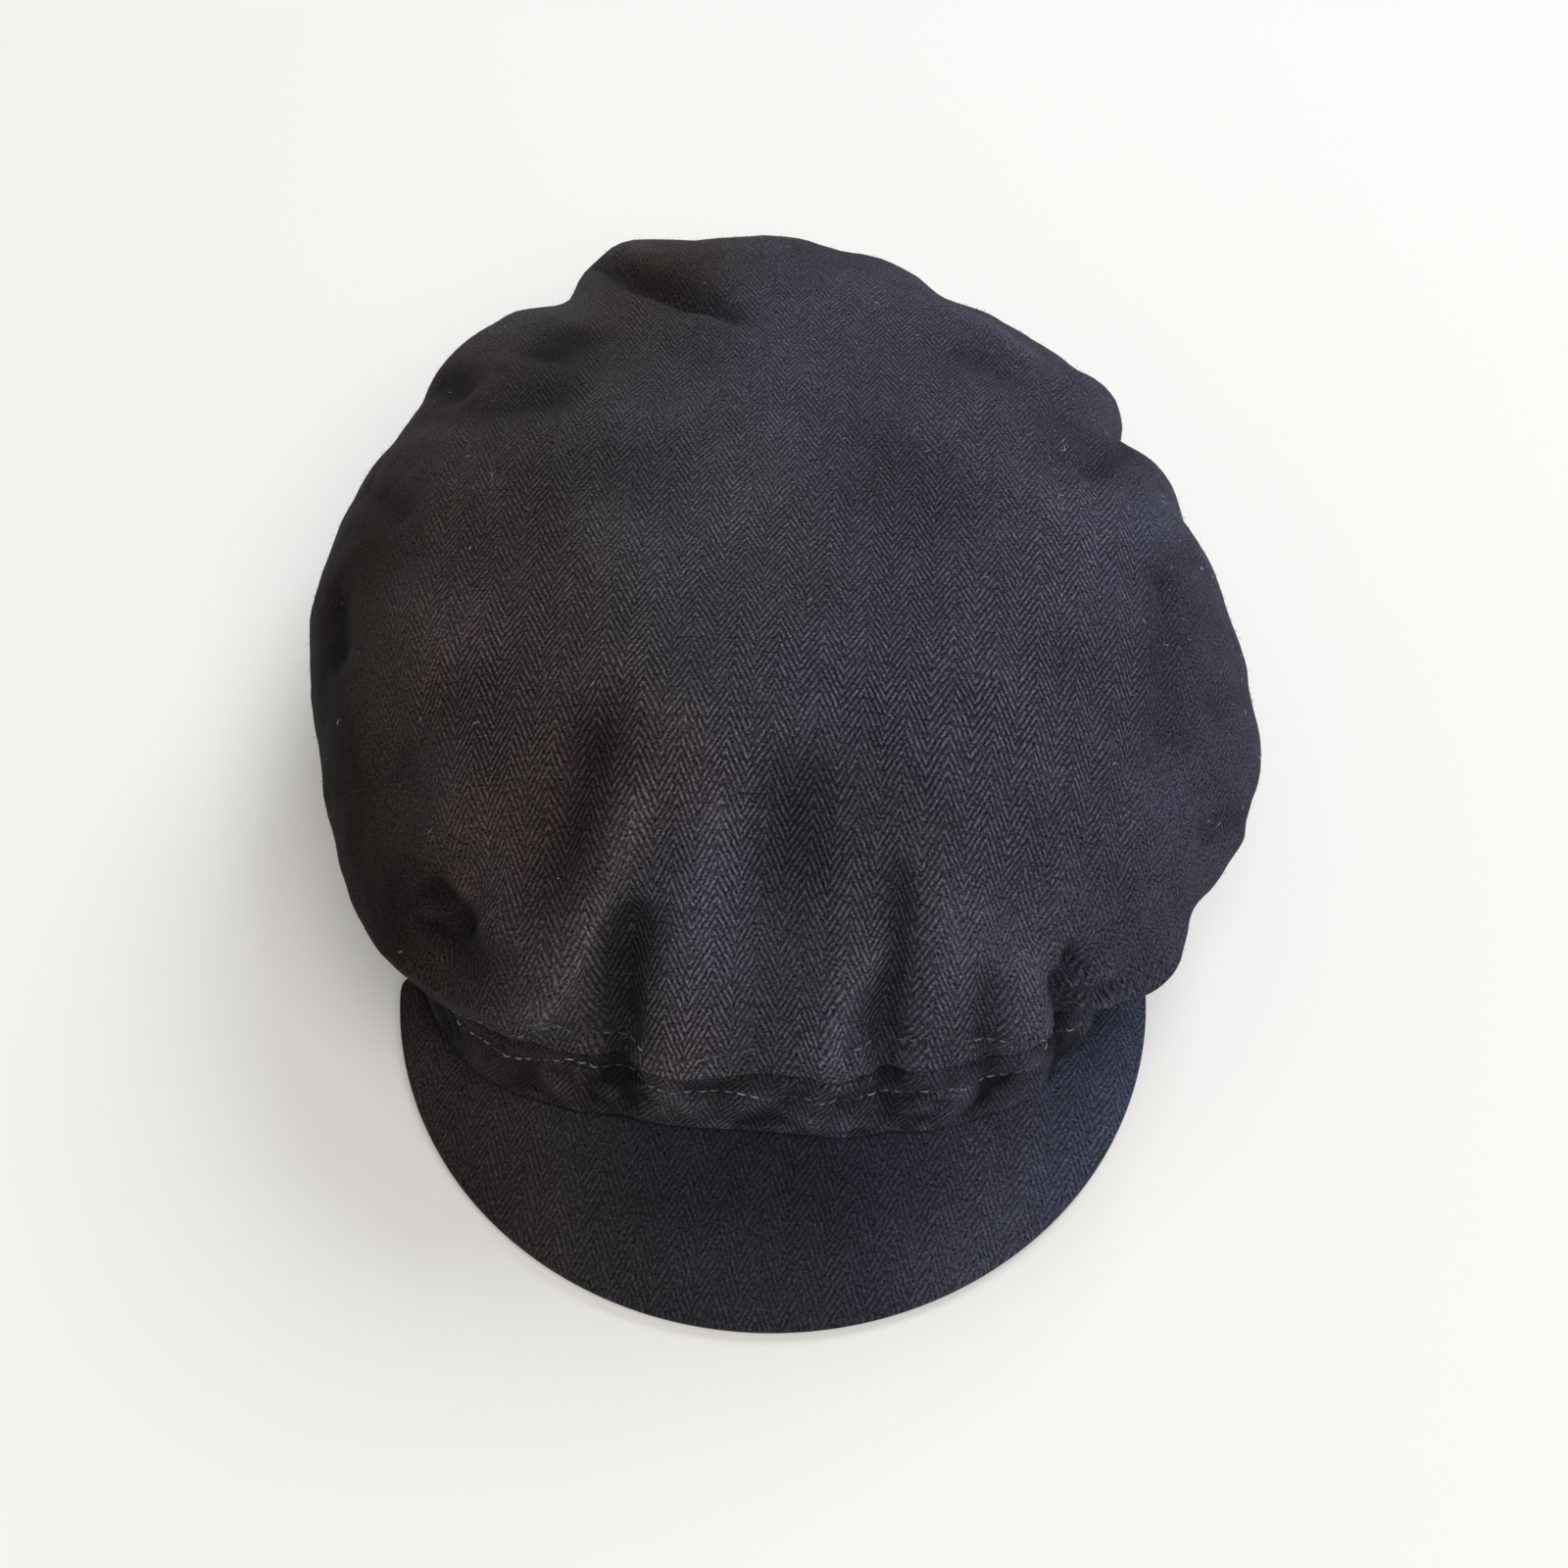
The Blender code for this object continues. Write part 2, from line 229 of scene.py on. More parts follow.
# The seeds of all that is strewn
SEEDS = {"puckers": 11, "edge": 33, "crown stitches": 51, "band stitches": 52, "hairs": 53, "lint": 54,
         "painted_light_tint": 61, "lint places": 71}

# The camera, at the photo's angle, measured from the head's middle on the ground
CAMERA_FROM_HEAD = (0.0028, -0.2960, 0.4480)
CAMERA_ELEVATION = math.radians(55.0)
CAMERA_LENS = 45.54
CAMERA_SENSOR = 36.0

# The herringbone, in metres: one stripe's width, the pitch of its ribs, and the ribs' lean off the stripe
STRIPE = 0.00495
RIB_PITCH = 0.00120
RIB_LEAN = math.radians(27.0)
YARN_PITCH = 0.00420
WEAVE_RELIEF = 0.22 * MM
UNEVENNESS = 0.50

# The weave's irregularity: how fine its ribs' wander, its stripes' sway and its fibres are, how far in metres
# the stripes sway, and how the yarns lie staggered and dark at their ends
WANDER_SCALE = 260.0
SWAY_SCALE = 35.0
STRIPE_SWAY = 0.0022
FIBRE_SCALE = 1500.0
FIBRE_ROUGH = 0.75
YARN_STAGGER = 3.0
YARN_END_POWER = 6.0
YARN_END_DARK = 0.6

# The wool over it: how clear the ribs are from place to place, how much brushing takes off that, the mean of
# the ribs, the strength of the specks of fibre and of whole yarns, and the least that is left of the tone
FELT_SCALE = 42.0
FELT_RANGE = 1.1
FELT_LEAST = 0.45
BRUSHED_AWAY = 0.75
RIB_MEAN = 0.42
FIBRE_SPECKS = 5.0
FLOAT_SPECKS = 0.22
FIBRE_RELIEF = 0.8
PATCH_SCALE = 55.0
LEAST_TONE = 0.12
WOOL_FACE = {"Roughness": 0.92, "Specular IOR Level": 0.12, "Sheen Weight": 0.02, "Sheen Roughness": 0.45,
             "Sheen Tint": (0.80, 0.86, 1.0, 1.0)}
THREAD_TONE_SCALE = 240.0
CROWN_CLOTH_TURN = math.radians(3.7)
BAND_CLOTH_TURN = math.radians(10.0)
PEAK_CLOTH_TURN = math.radians(8.0)

# Where the crown's cloth stops being laid along both axes and goes on outwards by its own run: at this share
# of the rim's reach at the sides and back, and at the rim itself where the sine of its way is lower than this
CLOTH_LAID_TO = 0.90
LAID_FRONT_FULL = -0.86
LAID_FRONT_FADE = 0.30

# The wools' and threads' own colours
DARK_WOOL = (0.0135, 0.0130, 0.0160, 1.0)
CROWN_LIGHT_WOOL = (0.0760, 0.0740, 0.0800, 1.0)
BAND_LIGHT_WOOL = (0.0430, 0.0425, 0.0465, 1.0)
PEAK_LIGHT_WOOL = (0.0490, 0.0560, 0.0700, 1.0)
HAIR_COLOUR = (0.040, 0.039, 0.044, 1.0)
DARK_THREAD = ((0.026, 0.026, 0.030, 1.0), (0.14, 0.14, 0.15, 1.0))
PALE_THREAD = ((0.030, 0.030, 0.034, 1.0), (0.23, 0.23, 0.245, 1.0))
PALE_LINT = ((0.14, 0.14, 0.15, 1.0), (0.42, 0.42, 0.44, 1.0))
FLOOR_COLOUR = (0.86, 0.86, 0.85, 1.0)

# The cloth's tint at steps from the painted shade at the left to the painted light at the right, as shares of
# its own colour
PAINTED_LIGHT_COLOURS = (
    (0.00, (0.27, 0.20, 0.13, 1.0)),
    (0.14, (0.78, 0.62, 0.52, 1.0)),
    (0.32, (1.02, 0.95, 0.96, 1.0)),
    (0.55, (1.02, 1.00, 1.20, 1.0)),
    (0.92, (0.90, 0.98, 1.36, 1.0)),
)

# The studio: the world's colour and strength, and two round soft lights with their places and sizes in
# metres and their power in watts
WORLD_COLOUR = (1.0, 0.95, 0.87, 1.0)
WORLD_STRENGTH = 0.25
FLOOR_HALF = 4.0
LIGHTS_FACE = (0.0, 0.0, 0.03)
LIGHTS = table("name place size power colour", (
    ("ceiling", (0.7, -1.9, 3.7), 4.3, 138.0, (1.0, 0.98, 0.945)),
    ("window", (1.5, 2.2, 2.4), 2.0, 68.0, (0.89, 0.945, 1.0)),
))

# Soft random ripples of each piece: the waves' length in metres, their height in millimetres and their seed
RIPPLES = table("piece long high seed", (
    ("crown", 0.055, 0.42, 21),
    ("crown", 0.020, 0.11, 22),
    ("crown face", 0.0075, 0.06, 23),
    ("band", 0.016, 0.42, 31),
    ("band", 0.007, 0.24, 32),
    ("peak", 0.030, 0.22, 41),
    ("peak", 0.010, 0.07, 42),
))
WAVES = 40

# The crown's own shape, as shares of the way out to the rim and of the rise to the middle
CROWN_SECTIONS = table("out front side back", (
    (1.000, 0.000, 0.00, 0.00),
    (0.982, 0.035, 0.18, 0.20),
    (0.940, 0.125, 0.37, 0.35),
    (0.870, 0.335, 0.57, 0.46),
    (0.780, 0.635, 0.74, 0.54),
    (0.680, 0.905, 0.87, 0.61),
    (0.570, 1.060, 0.95, 0.68),
    (0.450, 1.115, 1.00, 0.76),
    (0.320, 1.120, 1.01, 0.84),
    (0.190, 1.075, 1.01, 0.91),
    (0.080, 1.025, 1.00, 0.97),
    (0.004, 1.000, 1.00, 1.00),
))

# The crown's underside, from the seam out to the rim
UNDER_SHARE = 0.30
UNDER_SECTIONS = table("out front back", (
    (0.00, 0.00, 0.00),
    (0.00, 0.25, 0.05),
    (0.38, 0.38, 0.16),
    (0.74, 0.66, 0.44),
    (0.95, 0.86, 0.76),
))

# The large soft folds: degrees round the cap, half width in degrees, depth in fold depths, and the shares
# of the way up at which each is deepest and at which it ends
FRONT_HOLD = 0.29
BACK_HOLD = 0.12
FOLDS = table("at drift wide depth crest end band", (
    (-150, 0, 6, -0.30, 0.36, 0.56, 0.0),
    (-138, 2, 5, 0.60, 0.34, 0.52, 0.3),
    (-124, 1, 5, -0.30, 0.42, 0.74, 0.3),
    (-113, 2, 6, 0.35, 0.40, 0.60, 0.6),
    (-83, 3, 4, -0.10, 0.40, 0.60, 0.4),
    (-76, 5, 4, 0.20, 0.42, 0.60, 0.5),
    (-53, 4, 4, 0.35, 0.38, 0.50, 0.3),
    (-20, 0, 9, 0.60, 0.18, 0.40, 0.1),
    (12, 0, 9, 0.60, 0.18, 0.40, 0.1),
    (40, 0, 9, 0.60, 0.18, 0.40, 0.1),
    (62, 0, 8, 0.60, 0.18, 0.44, 0.1),
    (84, 0, 8, 0.60, 0.18, 0.42, 0.1),
    (109, 0, 4, 0.60, 0.34, 0.60, 0.1),
    (128, 0, 7, 0.50, 0.18, 0.40, 0.1),
    (150, 0, 9, 0.60, 0.18, 0.40, 0.1),
    (180, 0, 9, 0.60, 0.18, 0.44, 0.1),
))

# The dents of the rim: degrees round the crown's middle, half width in degrees, depth in puckers
RIM_DENTS = table("at wide depth", (
    (-50, 6, -0.50),
    (-34, 7, -0.25),
    (-21, 8, -0.45),
    (14, 16, 0.75),
    (28, 7, 1.60),
    (50, 15, 1.40),
    (66, 9, 1.40),
    (80, 8, 0.35),
    (108, 7, -0.85),
    (118, 6, 0.65),
    (152, 14, 0.65),
    (190, 7, 0.20),
    (209, 15, 0.55),
    (231, 6, -0.15),
))

# Small swells and dents of the rim's cloth beside these: degrees round the crown's middle, half width in
# degrees, and how far out in millimetres
RIM_TRIMS = table("at wide out", (
    (-47, 5, 1.8),
    (-30, 3, 1.7),
    (-20, 3, -0.8),
    (-9, 5, 2.0),
    (10, 4, -1.8),
    (26, 4, -2.4),
    (40, 4, -2.9),
    (55, 3, -1.8),
    (65, 4, -1.4),
    (87, 5, 1.6),
    (102, 4, -0.9),
    (115, 3, 3.8),
    (129, 5, -1.7),
    (140, 3, 0.8),
    (160, 3, 1.0),
    (171, 7, -1.6),
    (206, 5, 1.2),
    (218, 5, 0.9),
    (236, 4, 0.9),
))

# Creases pressed into the crown, or raised where the depth is below nought. A path runs through places
# given as degrees round the cap and share of the way up; wide and deep are in millimetres, starts and
# stops say how much of the depth is there at each end, and a crisp crease has a narrow bottom
# Each crease also darkens the cloth as painted shade where it presses in, and a raised one lightens it
CREASES = table("wide deep starts stops crisp path", (
    # The soft hollow left of the left gather
    (7.5, 3.2, 0.0, 0.4, False, ((-132.0, 0.670), (-128.0, 0.590), (-125.6, 0.530), (-124.8, 0.479),
     (-125.0, 0.430), (-125.5, 0.390))),
    # The left gather's ridge
    (3.6, -4.2, 0.0, 0.9, True, ((-115.0, 0.575), (-115.8, 0.510), (-117.0, 0.450), (-118.5, 0.406),
     (-120.0, 0.360), (-121.5, 0.328))),
    # The left gather's deep fold
    (4.8, 6.6, 0.0, 1.0, True, ((-112.0, 0.450), (-112.6, 0.420), (-112.6, 0.385), (-112.0, 0.350),
     (-111.0, 0.290))),
    # The broad ridge beside it
    (10.0, -2.6, 0.0, 0.5, False, ((-98.2, 0.624), (-99.8, 0.528), (-100.5, 0.473), (-101.2, 0.417),
     (-101.2, 0.360))),
    # The hollow of the front's middle
    (12.0, 1.8, 0.0, 0.0, False, ((-93.8, 0.603), (-87.0, 0.542), (-84.7, 0.485), (-86.2, 0.433))),
    # The middle gather's ridge
    (3.8, -3.4, 0.0, 1.0, True, ((-70.5, 0.439), (-74.2, 0.401), (-78.8, 0.375), (-81.0, 0.345),
     (-83.2, 0.312))),
    # The middle gather's fold
    (3.9, 4.4, 0.0, 1.0, True, ((-67.5, 0.510), (-68.2, 0.467), (-69.0, 0.428), (-72.0, 0.380),
     (-73.5, 0.355), (-73.5, 0.328), (-74.2, 0.048))),
    # A flat place right of it
    (8.0, -2.2, 0.0, 0.6, False, ((-60.0, 0.450), (-62.5, 0.400), (-65.5, 0.345))),
    # The small fold right of the middle
    (4.0, 2.0, 0.0, 1.0, False, ((-59.3, 0.380), (-59.3, 0.350), (-60.0, 0.328), (-60.8, 0.305))),
    # The ridge before the right pucker
    (4.2, -2.2, 0.0, 1.0, False, ((-51.0, 0.380), (-52.5, 0.341), (-53.2, 0.310), (-55.5, 0.117))),
    # The right pucker
    (2.7, 5.0, 0.0, 1.0, True, ((-45.8, 0.365), (-47.2, 0.336), (-49.5, 0.312), (-49.5, 0.164))),
    # Four wrinkles off the right pucker
    (1.8, -1.2, 1.0, 0.0, False, ((-47.2, 0.324), (-44.2, 0.324), (-40.5, 0.324))),
    (1.6, 1.4, 1.0, 0.0, False, ((-48.0, 0.312), (-45.0, 0.310), (-40.5, 0.312))),
    (1.6, -1.3, 1.0, 0.0, False, ((-48.0, 0.290), (-45.8, 0.298), (-42.8, 0.303))),
    (1.4, 1.2, 1.0, 0.0, False, ((-48.0, 0.222), (-46.5, 0.294), (-44.2, 0.298))),
    # A crease over the right pucker
    (1.8, -1.2, 0.0, 1.0, False, ((-48.0, 0.370), (-48.0, 0.350), (-48.0, 0.336))),
    # The left dimple
    (4.2, 3.4, 0.1, 0.3, False, ((-144.8, 0.380), (-141.0, 0.375), (-137.2, 0.365), (-134.2, 0.355))),
    # Three wrinkles in the left dimple
    (2.0, -1.6, 0.0, 0.0, False, ((-142.5, 0.395), (-139.5, 0.390), (-135.8, 0.390))),
    (2.0, -1.6, 0.0, 0.0, False, ((-143.2, 0.355), (-141.0, 0.360), (-136.5, 0.375))),
    (2.0, 1.8, 0.0, 0.0, False, ((-141.8, 0.336), (-140.2, 0.341), (-134.2, 0.336))),
    # A soft fold below the dimple
    (5.0, -1.6, 0.0, 0.5, False, ((-135.8, 0.380), (-129.7, 0.375), (-124.5, 0.365))),
    # The narrow valley behind the back left lobe
    (3.4, 5.0, 1.0, 0.0, True, ((104.2, 0.336), (104.2, 0.370), (102.8, 0.467), (99.0, 0.522),
     (95.2, 0.575), (92.2, 0.638))),
    # The dark side of the back left lobe
    (9.0, 3.0, 0.6, 0.0, False, ((103.0, 0.42), (99.0, 0.50), (96.0, 0.56))),
    # The lobe's own top
    (4.0, -1.6, 0.5, 0.0, False, ((103.5, 0.341), (101.2, 0.417), (98.3, 0.461))),
    # A soft hollow before the lobe
    (9.0, 2.2, 0.0, 0.0, False, ((110.2, 0.510), (115.5, 0.522), (121.5, 0.528))),
    # A long faint hollow
    (8.0, 1.3, 0.5, 0.0, False, ((134.2, 0.439), (131.2, 0.555), (122.2, 0.667))),
    # The back left notch
    (5.5, 2.8, 1.0, 0.0, False, ((126.0, 0.355), (127.5, 0.412), (129.8, 0.479))),
    # The back right ridge
    (5.0, -1.6, 0.5, 0.0, False, ((72.0, 0.455), (66.0, 0.473), (55.5, 0.497))),
    # The hollow before that ridge
    (7.0, 1.4, 0.0, 0.0, False, ((69.0, 0.562), (61.5, 0.562), (51.8, 0.562))),
    # The left side's hollow
    (6.0, 2.4, 0.0, 0.0, False, ((159.0, 0.355), (168.8, 0.370), (177.8, 0.365))),
    # The right side's long hollow
    (9.0, 1.8, 0.0, 0.0, False, ((23.2, 0.450), (7.5, 0.450), (-9.0, 0.433), (-21.8, 0.406))),
    # The right side's swell
    (15.0, -1.5, 0.0, 0.0, False, ((33.8, 0.575), (10.5, 0.596), (-15.8, 0.575))),
    # A faint ridge down the top
    (8.0, -0.8, 0.0, 0.0, False, ((100.5, 0.841), (160.5, 0.960), (-106.5, 0.827))),
    # A notch at the right back
    (4.0, 1.6, 1.0, 0.0, False, ((41.3, 0.422), (35.2, 0.497), (28.5, 0.555))),
    # A notch at the right
    (4.0, 1.4, 1.0, 0.0, False, ((22.5, 0.385), (16.5, 0.433), (9.8, 0.473))),
    # A notch at the right front
    (4.0, 1.6, 1.0, 0.0, False, ((-9.0, 0.305), (-15.0, 0.324), (-21.0, 0.345))),
    # A notch at the right middle
    (4.0, 1.2, 1.0, 0.0, False, ((5.2, 0.324), (0.0, 0.365), (-5.2, 0.395))),
    # A notch at the left back
    (4.5, 1.8, 1.0, 0.0, False, ((144.8, 0.365), (151.5, 0.439), (157.5, 0.497))),
    # A swell at the left
    (13.0, -1.4, 0.0, 0.0, False, ((164.2, 0.516), (-176.2, 0.522), (-159.0, 0.504))),
    # A hollow at the left front
    (8.0, 1.6, 0.0, 0.0, False, ((-166.5, 0.422), (-155.2, 0.422), (-144.8, 0.422))),
))

# Patches of painted light and shade on the crown's cloth: degrees round the cap, share of the way up, half
# width in millimetres, how far its tint goes towards the painted shade of the left, and how much lighter it
# is painted, each below nought for the opposite
PAINTED_LIGHT_PATCHES = table("at up wide less worn", (
    (98.0, 0.430, 21.0, 0.28, -0.2),
    (104.0, 0.500, 18.0, 0.22, -0.1),
    (113.0, 0.530, 14.0, 0.10, 0.0),
    (101.0, 0.620, 14.0, 0.08, -0.40),
    (122.0, 0.620, 30.0, 0.02, -0.65),
    (148.0, 0.700, 24.0, 0.02, -0.35),
    (126.8, 0.395, 9.0, 0.14, 0.0),
    (174.0, 0.560, 9.0, 0.03, -0.5),
    (172.0, 0.330, 14.0, 0.15, -0.6),
    (187.0, 0.310, 18.0, 0.25, -0.8),
    (-168.0, 0.473, 20.0, 0.04, 0.0),
    (-150.0, 0.430, 14.0, -0.04, 0.3),
    (-126.0, 0.467, 13.0, 0.10, 0.0),
    (-128.0, 0.580, 10.0, 0.10, 0.0),
    (-145.0, 0.330, 12.0, 0.00, -0.9),
    (-132.0, 0.340, 12.0, -0.06, -1.0),
    (-121.0, 0.320, 8.0, -0.16, -0.4),
    (-112.5, 0.390, 4.0, 0.00, -0.5),
    (-111.5, 0.350, 4.5, 0.00, -0.5),
    (-111.0, 0.300, 5.0, 0.00, -0.6),
    (-118.0, 0.680, 12.0, 0.00, -0.4),
    (-87.0, 0.450, 14.0, 0.00, -0.4),
    (-100.5, 0.470, 14.0, -0.14, 0.0),
    (-96.0, 0.390, 14.0, -0.16, 0.0),
    (-81.0, 0.345, 7.0, -0.16, 0.2),
    (-62.0, 0.450, 17.0, 0.00, 0.4),
    (-52.0, 0.370, 10.0, 0.00, 0.5),
    (-47.0, 0.390, 10.0, 0.00, 0.5),
))

# The lint that shows most: degrees round the cap, share of the way up and length in millimetres
LINT = table("at up long", (
    (149.2, 0.596, 2.4),
    (160.5, 0.528, 0.9),
    (-95.2, 0.617, 1.1),
    (-95.6, 0.614, 0.8),
    (-15.8, 0.336, 1.2),
    (72.0, 0.575, 0.9),
    (39.0, 0.555, 3.6),
    (38.2, 0.560, 2.4),
    (41.0, 0.548, 2.8),
    (36.0, 0.590, 2.0),
    (24.0, 0.596, 1.8),
    (17.2, 0.535, 2.2),
    (16.6, 0.530, 1.4),
    (163.5, 0.365, 0.8),
    (-150.0, 0.638, 0.9),
))

# Folds that cross the seam: degrees round the cap, half width in degrees, how far they press in, or stand
# out where below nought, and how far they lift the seam, in millimetres
SEAM_FOLDS = table("at wide deep lift", (
    (-142, 4.0, 2.0, 0.0),
    (-131, 4.5, -0.8, 3.0),
    (-119, 5.0, 0.6, 6.5),
    (-111.5, 2.6, 2.9, 0.0),
    (-102, 5.0, -0.8, 0.0),
    (-92, 4.0, 0.7, 0.0),
    (-81.5, 2.8, -1.7, 0.5),
    (-74, 2.1, 2.6, 0.5),
    (-67, 4.0, -0.5, 2.5),
    (-61, 2.0, 1.4, 0.0),
    (-55, 2.6, -1.4, 1.0),
    (-48.5, 2.2, 3.4, 1.5),
    (-42, 3.0, -1.0, 3.0),
))

# The share of those folds that is left at the band's lower edge, and that of their painted shade, which
# darkens the band where they press in and lightens it where they stand out
SEAM_FOLDS_LEFT = 0.35
SEAM_SHADE_LEFT = 0.4

# The crown's ripples: none at the seam, and only a share of them under the rim, as shares of the way up
CALM_TO = 0.12
CALM_RIM = (0.32, 0.1)
CALM_LEFT = 0.5

# Where the crown's weave is rubbed away: round the rim, less so at the front, at the back and at the left
RUBBED_RIM = (0.34, 0.20)
RUBBED_LESS_AT_FRONT = 0.8
RUBBED_BACK = {"most": 0.55, "from": 0.03, "over": 0.13}
RUBBED_LEFT = {"most": 0.35, "from": 0.055, "over": 0.04}

# The band's ripples grow over these shares of its height from each edge
BAND_HELD_BELOW = 0.2
BAND_HELD_ABOVE = 0.3

# The wear of the band's lower edge, in patches of one length, and the edge's rounding
EDGE_WEAR = 1.3
EDGE_WEAR_MOST = 1.2
EDGE_WEAR_LENGTH = 0.006
EDGE_WEAR_ENDS = 0.3
EDGE_TUCK = 0.6 * MM
EDGE_ROUNDING = 1.5 * MM

# Creases of the band, with paths as degrees round the cap and share of the band's height
# These creases and the band's other presses darken its cloth as painted shade, twice as strongly as on the
# crown, and lighten it where raised
BAND_CREASES = table("wide deep starts stops crisp path", (
    # Small pleats by the left gather
    (1.2, 0.8, 1.0, 0.0, False, ((-116.0, 1.0), (-115.5, 0.5), (-115.0, 0.2))),
    (1.1, 0.7, 0.5, 0.0, False, ((-118.2, 0.9), (-117.6, 0.5), (-117.0, 0.2))),
    # Slanting wrinkles
    (1.6, 0.9, 0.2, 0.0, False, ((-72.0, 0.75), (-68.5, 0.55), (-65.0, 0.50))),
    (1.8, 0.8, 0.0, 0.0, False, ((-90.0, 0.70), (-86.5, 0.50), (-83.5, 0.45))),
    (1.6, 0.9, 0.0, 0.0, False, ((-60.0, 0.45), (-57.0, 0.60), (-53.0, 0.62))),
    (1.6, 0.8, 0.2, 0.0, False, ((-109.0, 0.50), (-106.0, 0.42), (-102.0, 0.40))),
    (1.8, -0.9, 0.0, 0.0, False, ((-82.0, 0.35), (-78.0, 0.28), (-75.0, 0.36))),
))

# The peak's painted light and shade: how much lighter it is painted, from where and over what length, towards
# its right and left, and how much darker towards the band, as the band's painted shadow
PEAK_PAINTED_LIGHT = {"right": (1.65, 0.008, 0.065), "left": (1.55, 0.025, 0.045), "band": (0.35, 0.128, 0.020)}
# Painted shade over the whole peak, from which its ends are painted lighter
PEAK_PAINTED_SHADE = 0.50

# The peak's section: shares of the way out and of its arch
PEAK_SECTIONS = table("out arch", (
    (0.00, 0.0),
    (0.18, 0.6),
    (0.45, 1.0),
    (0.75, 0.8),
    (0.96, 0.2),
    (1.00, 0.0),
))


def smooth_step(share):
    share = np.clip(share, 0.0, 1.0)
    return share * share * (3.0 - 2.0 * share)


def angle_between(first, second):
    return (first - second + math.pi) % (2.0 * math.pi) - math.pi


def bump(distance, half_width):
    return smooth_step(1.0 - np.abs(distance) / (BUMP_REACH * half_width))


def column(rows, name):
    return np.array([row[name] for row in rows])


def oval_radius(angle, half_width, reach, squareness):
    across = np.abs(np.cos(angle)) / half_width
    along = np.abs(np.sin(angle)) / reach
    return (across**squareness + along**squareness) ** (-1.0 / squareness)


def to_part(points):
    """Moves points from the head's middle to the part's own frame."""
    return points + np.array([HEAD_X, HEAD_Y, 0.0])


def column_angles(columns):
    """Gives the angles of the columns round the cap, which lie closest together at the front."""
    even = np.arange(columns) * 2.0 * math.pi / columns
    return even - FRONT_CROWDING * np.cos(even)


def fold_depth(angle, share):
    depth = np.zeros(np.broadcast(angle, share).shape)
    held = BACK_HOLD + (FRONT_HOLD - BACK_HOLD) * np.maximum(-np.sin(angle), 0.0)
    for fold in FOLDS:
        free = np.maximum(share - held, 0.0) / (fold["end"] - held)
        middle = np.radians(fold["at"] + fold["drift"] * free)
        across = bump(angle_between(angle, middle), math.radians(fold["wide"]))
        grown = smooth_step((share - held) / (fold["crest"] - held))
        rising = fold["band"] + (1.0 - fold["band"]) * grown
        falling = 1.0 - smooth_step((share - fold["crest"]) / (fold["end"] - fold["crest"]))
        depth = depth + fold["depth"] * across * np.where(share < fold["crest"], rising, falling)
    return depth * FOLD_DEPTH


def front_share(angle):
    """Gives 1 over the front, where the band stands on the peak, and 0 at the sides and back."""
    from_side = math.pi / 2 - np.abs(angle_between(angle, FRONT))
    return smooth_step((from_side - LIFT_STARTS) / (LIFT_IS_FULL - LIFT_STARTS))


def front_lift(angle):
    return BAND_FRONT_LIFT * front_share(angle)


def seam_folds(angle, measure):
    """Gives how far the folds across the seam press it in, or lift it, in metres."""
    moved = np.zeros_like(angle)
    for fold in SEAM_FOLDS:
        turn = angle_between(angle, math.radians(fold["at"])) / math.radians(fold["wide"])
        moved = moved + fold[measure] * MM * np.exp(-(turn**2))
    return moved


def band_height(angle):
    return BAND_HEIGHT + seam_folds(angle, "lift")


def seam_radius(angle):
    return band_radius(angle) - SEAM_LEAN * front_share(angle)


def band_radius(angle):
    own_angle = angle - BAND_TURN
    front = oval_radius(own_angle, BAND_HALF_WIDTH, BAND_FRONT_REACH, BAND_FRONT_SQUARENESS)
    back = oval_radius(own_angle, BAND_HALF_WIDTH, BAND_BACK_REACH, BAND_BACK_SQUARENESS)
    return np.where(np.sin(own_angle) > 0, back, front)


def rim_radius(angle, dented):
    front = oval_radius(angle, CROWN_HALF_WIDTH, CROWN_FRONT_REACH, CROWN_FRONT_SQUARENESS)
    back = oval_radius(angle, CROWN_HALF_WIDTH, CROWN_BACK_REACH, CROWN_BACK_SQUARENESS)
    radius = np.where(np.sin(angle) > 0, back, front - RIM_SET_IN * front_share(angle) ** 2)
    for dent in RIM_DENTS:
        turn = angle_between(angle, math.radians(dent["at"]))
        radius = radius - dented * RIM_PUCKER * dent["depth"] * bump(turn, math.radians(dent["wide"]))
    for trim in RIM_TRIMS:
        turn = angle_between(angle, math.radians(trim["at"]))
        radius = radius + dented * trim["out"] * MM * bump(turn, math.radians(trim["wide"]))
    return radius


def rim_height(angle):
    end_height = np.where(np.sin(angle) > 0, RIM_BACK_HEIGHT, RIM_FRONT_HEIGHT)
    height = RIM_SIDE_HEIGHT + (end_height - RIM_SIDE_HEIGHT) * np.sin(angle) ** 2
    return height - RIM_DROP * front_share(angle) + seam_folds(angle, "lift")


def along_rows(rows, places, new_places):
    """Runs a smooth curve through each column of the rows at their places, and reads it at new ones."""
    rows = np.asarray(rows)
    steps = np.diff(places)
    slopes = np.diff(rows, axis=0) / steps[:, None, None]
    tangents = np.empty_like(rows)
    tangents[0], tangents[-1] = slopes[0], slopes[-1]
    before, after = steps[:-1, None, None], steps[1:, None, None]
    tangents[1:-1] = (slopes[:-1] * after + slopes[1:] * before) / (before + after)
    index = np.clip(np.searchsorted(places, new_places, side="right") - 1, 0, len(places) - 2)
    step = steps[index]
    way = (new_places - places[index]) / step
    way, step = way[:, None, None], step[:, None, None]
    left = 1.0 - way
    start = (1.0 + 2.0 * way) * left**2 * rows[index] + way * left**2 * step * tangents[index]
    end = way**2 * (3.0 - 2.0 * way) * rows[index + 1] - way**2 * left * step * tangents[index + 1]
    return start + end


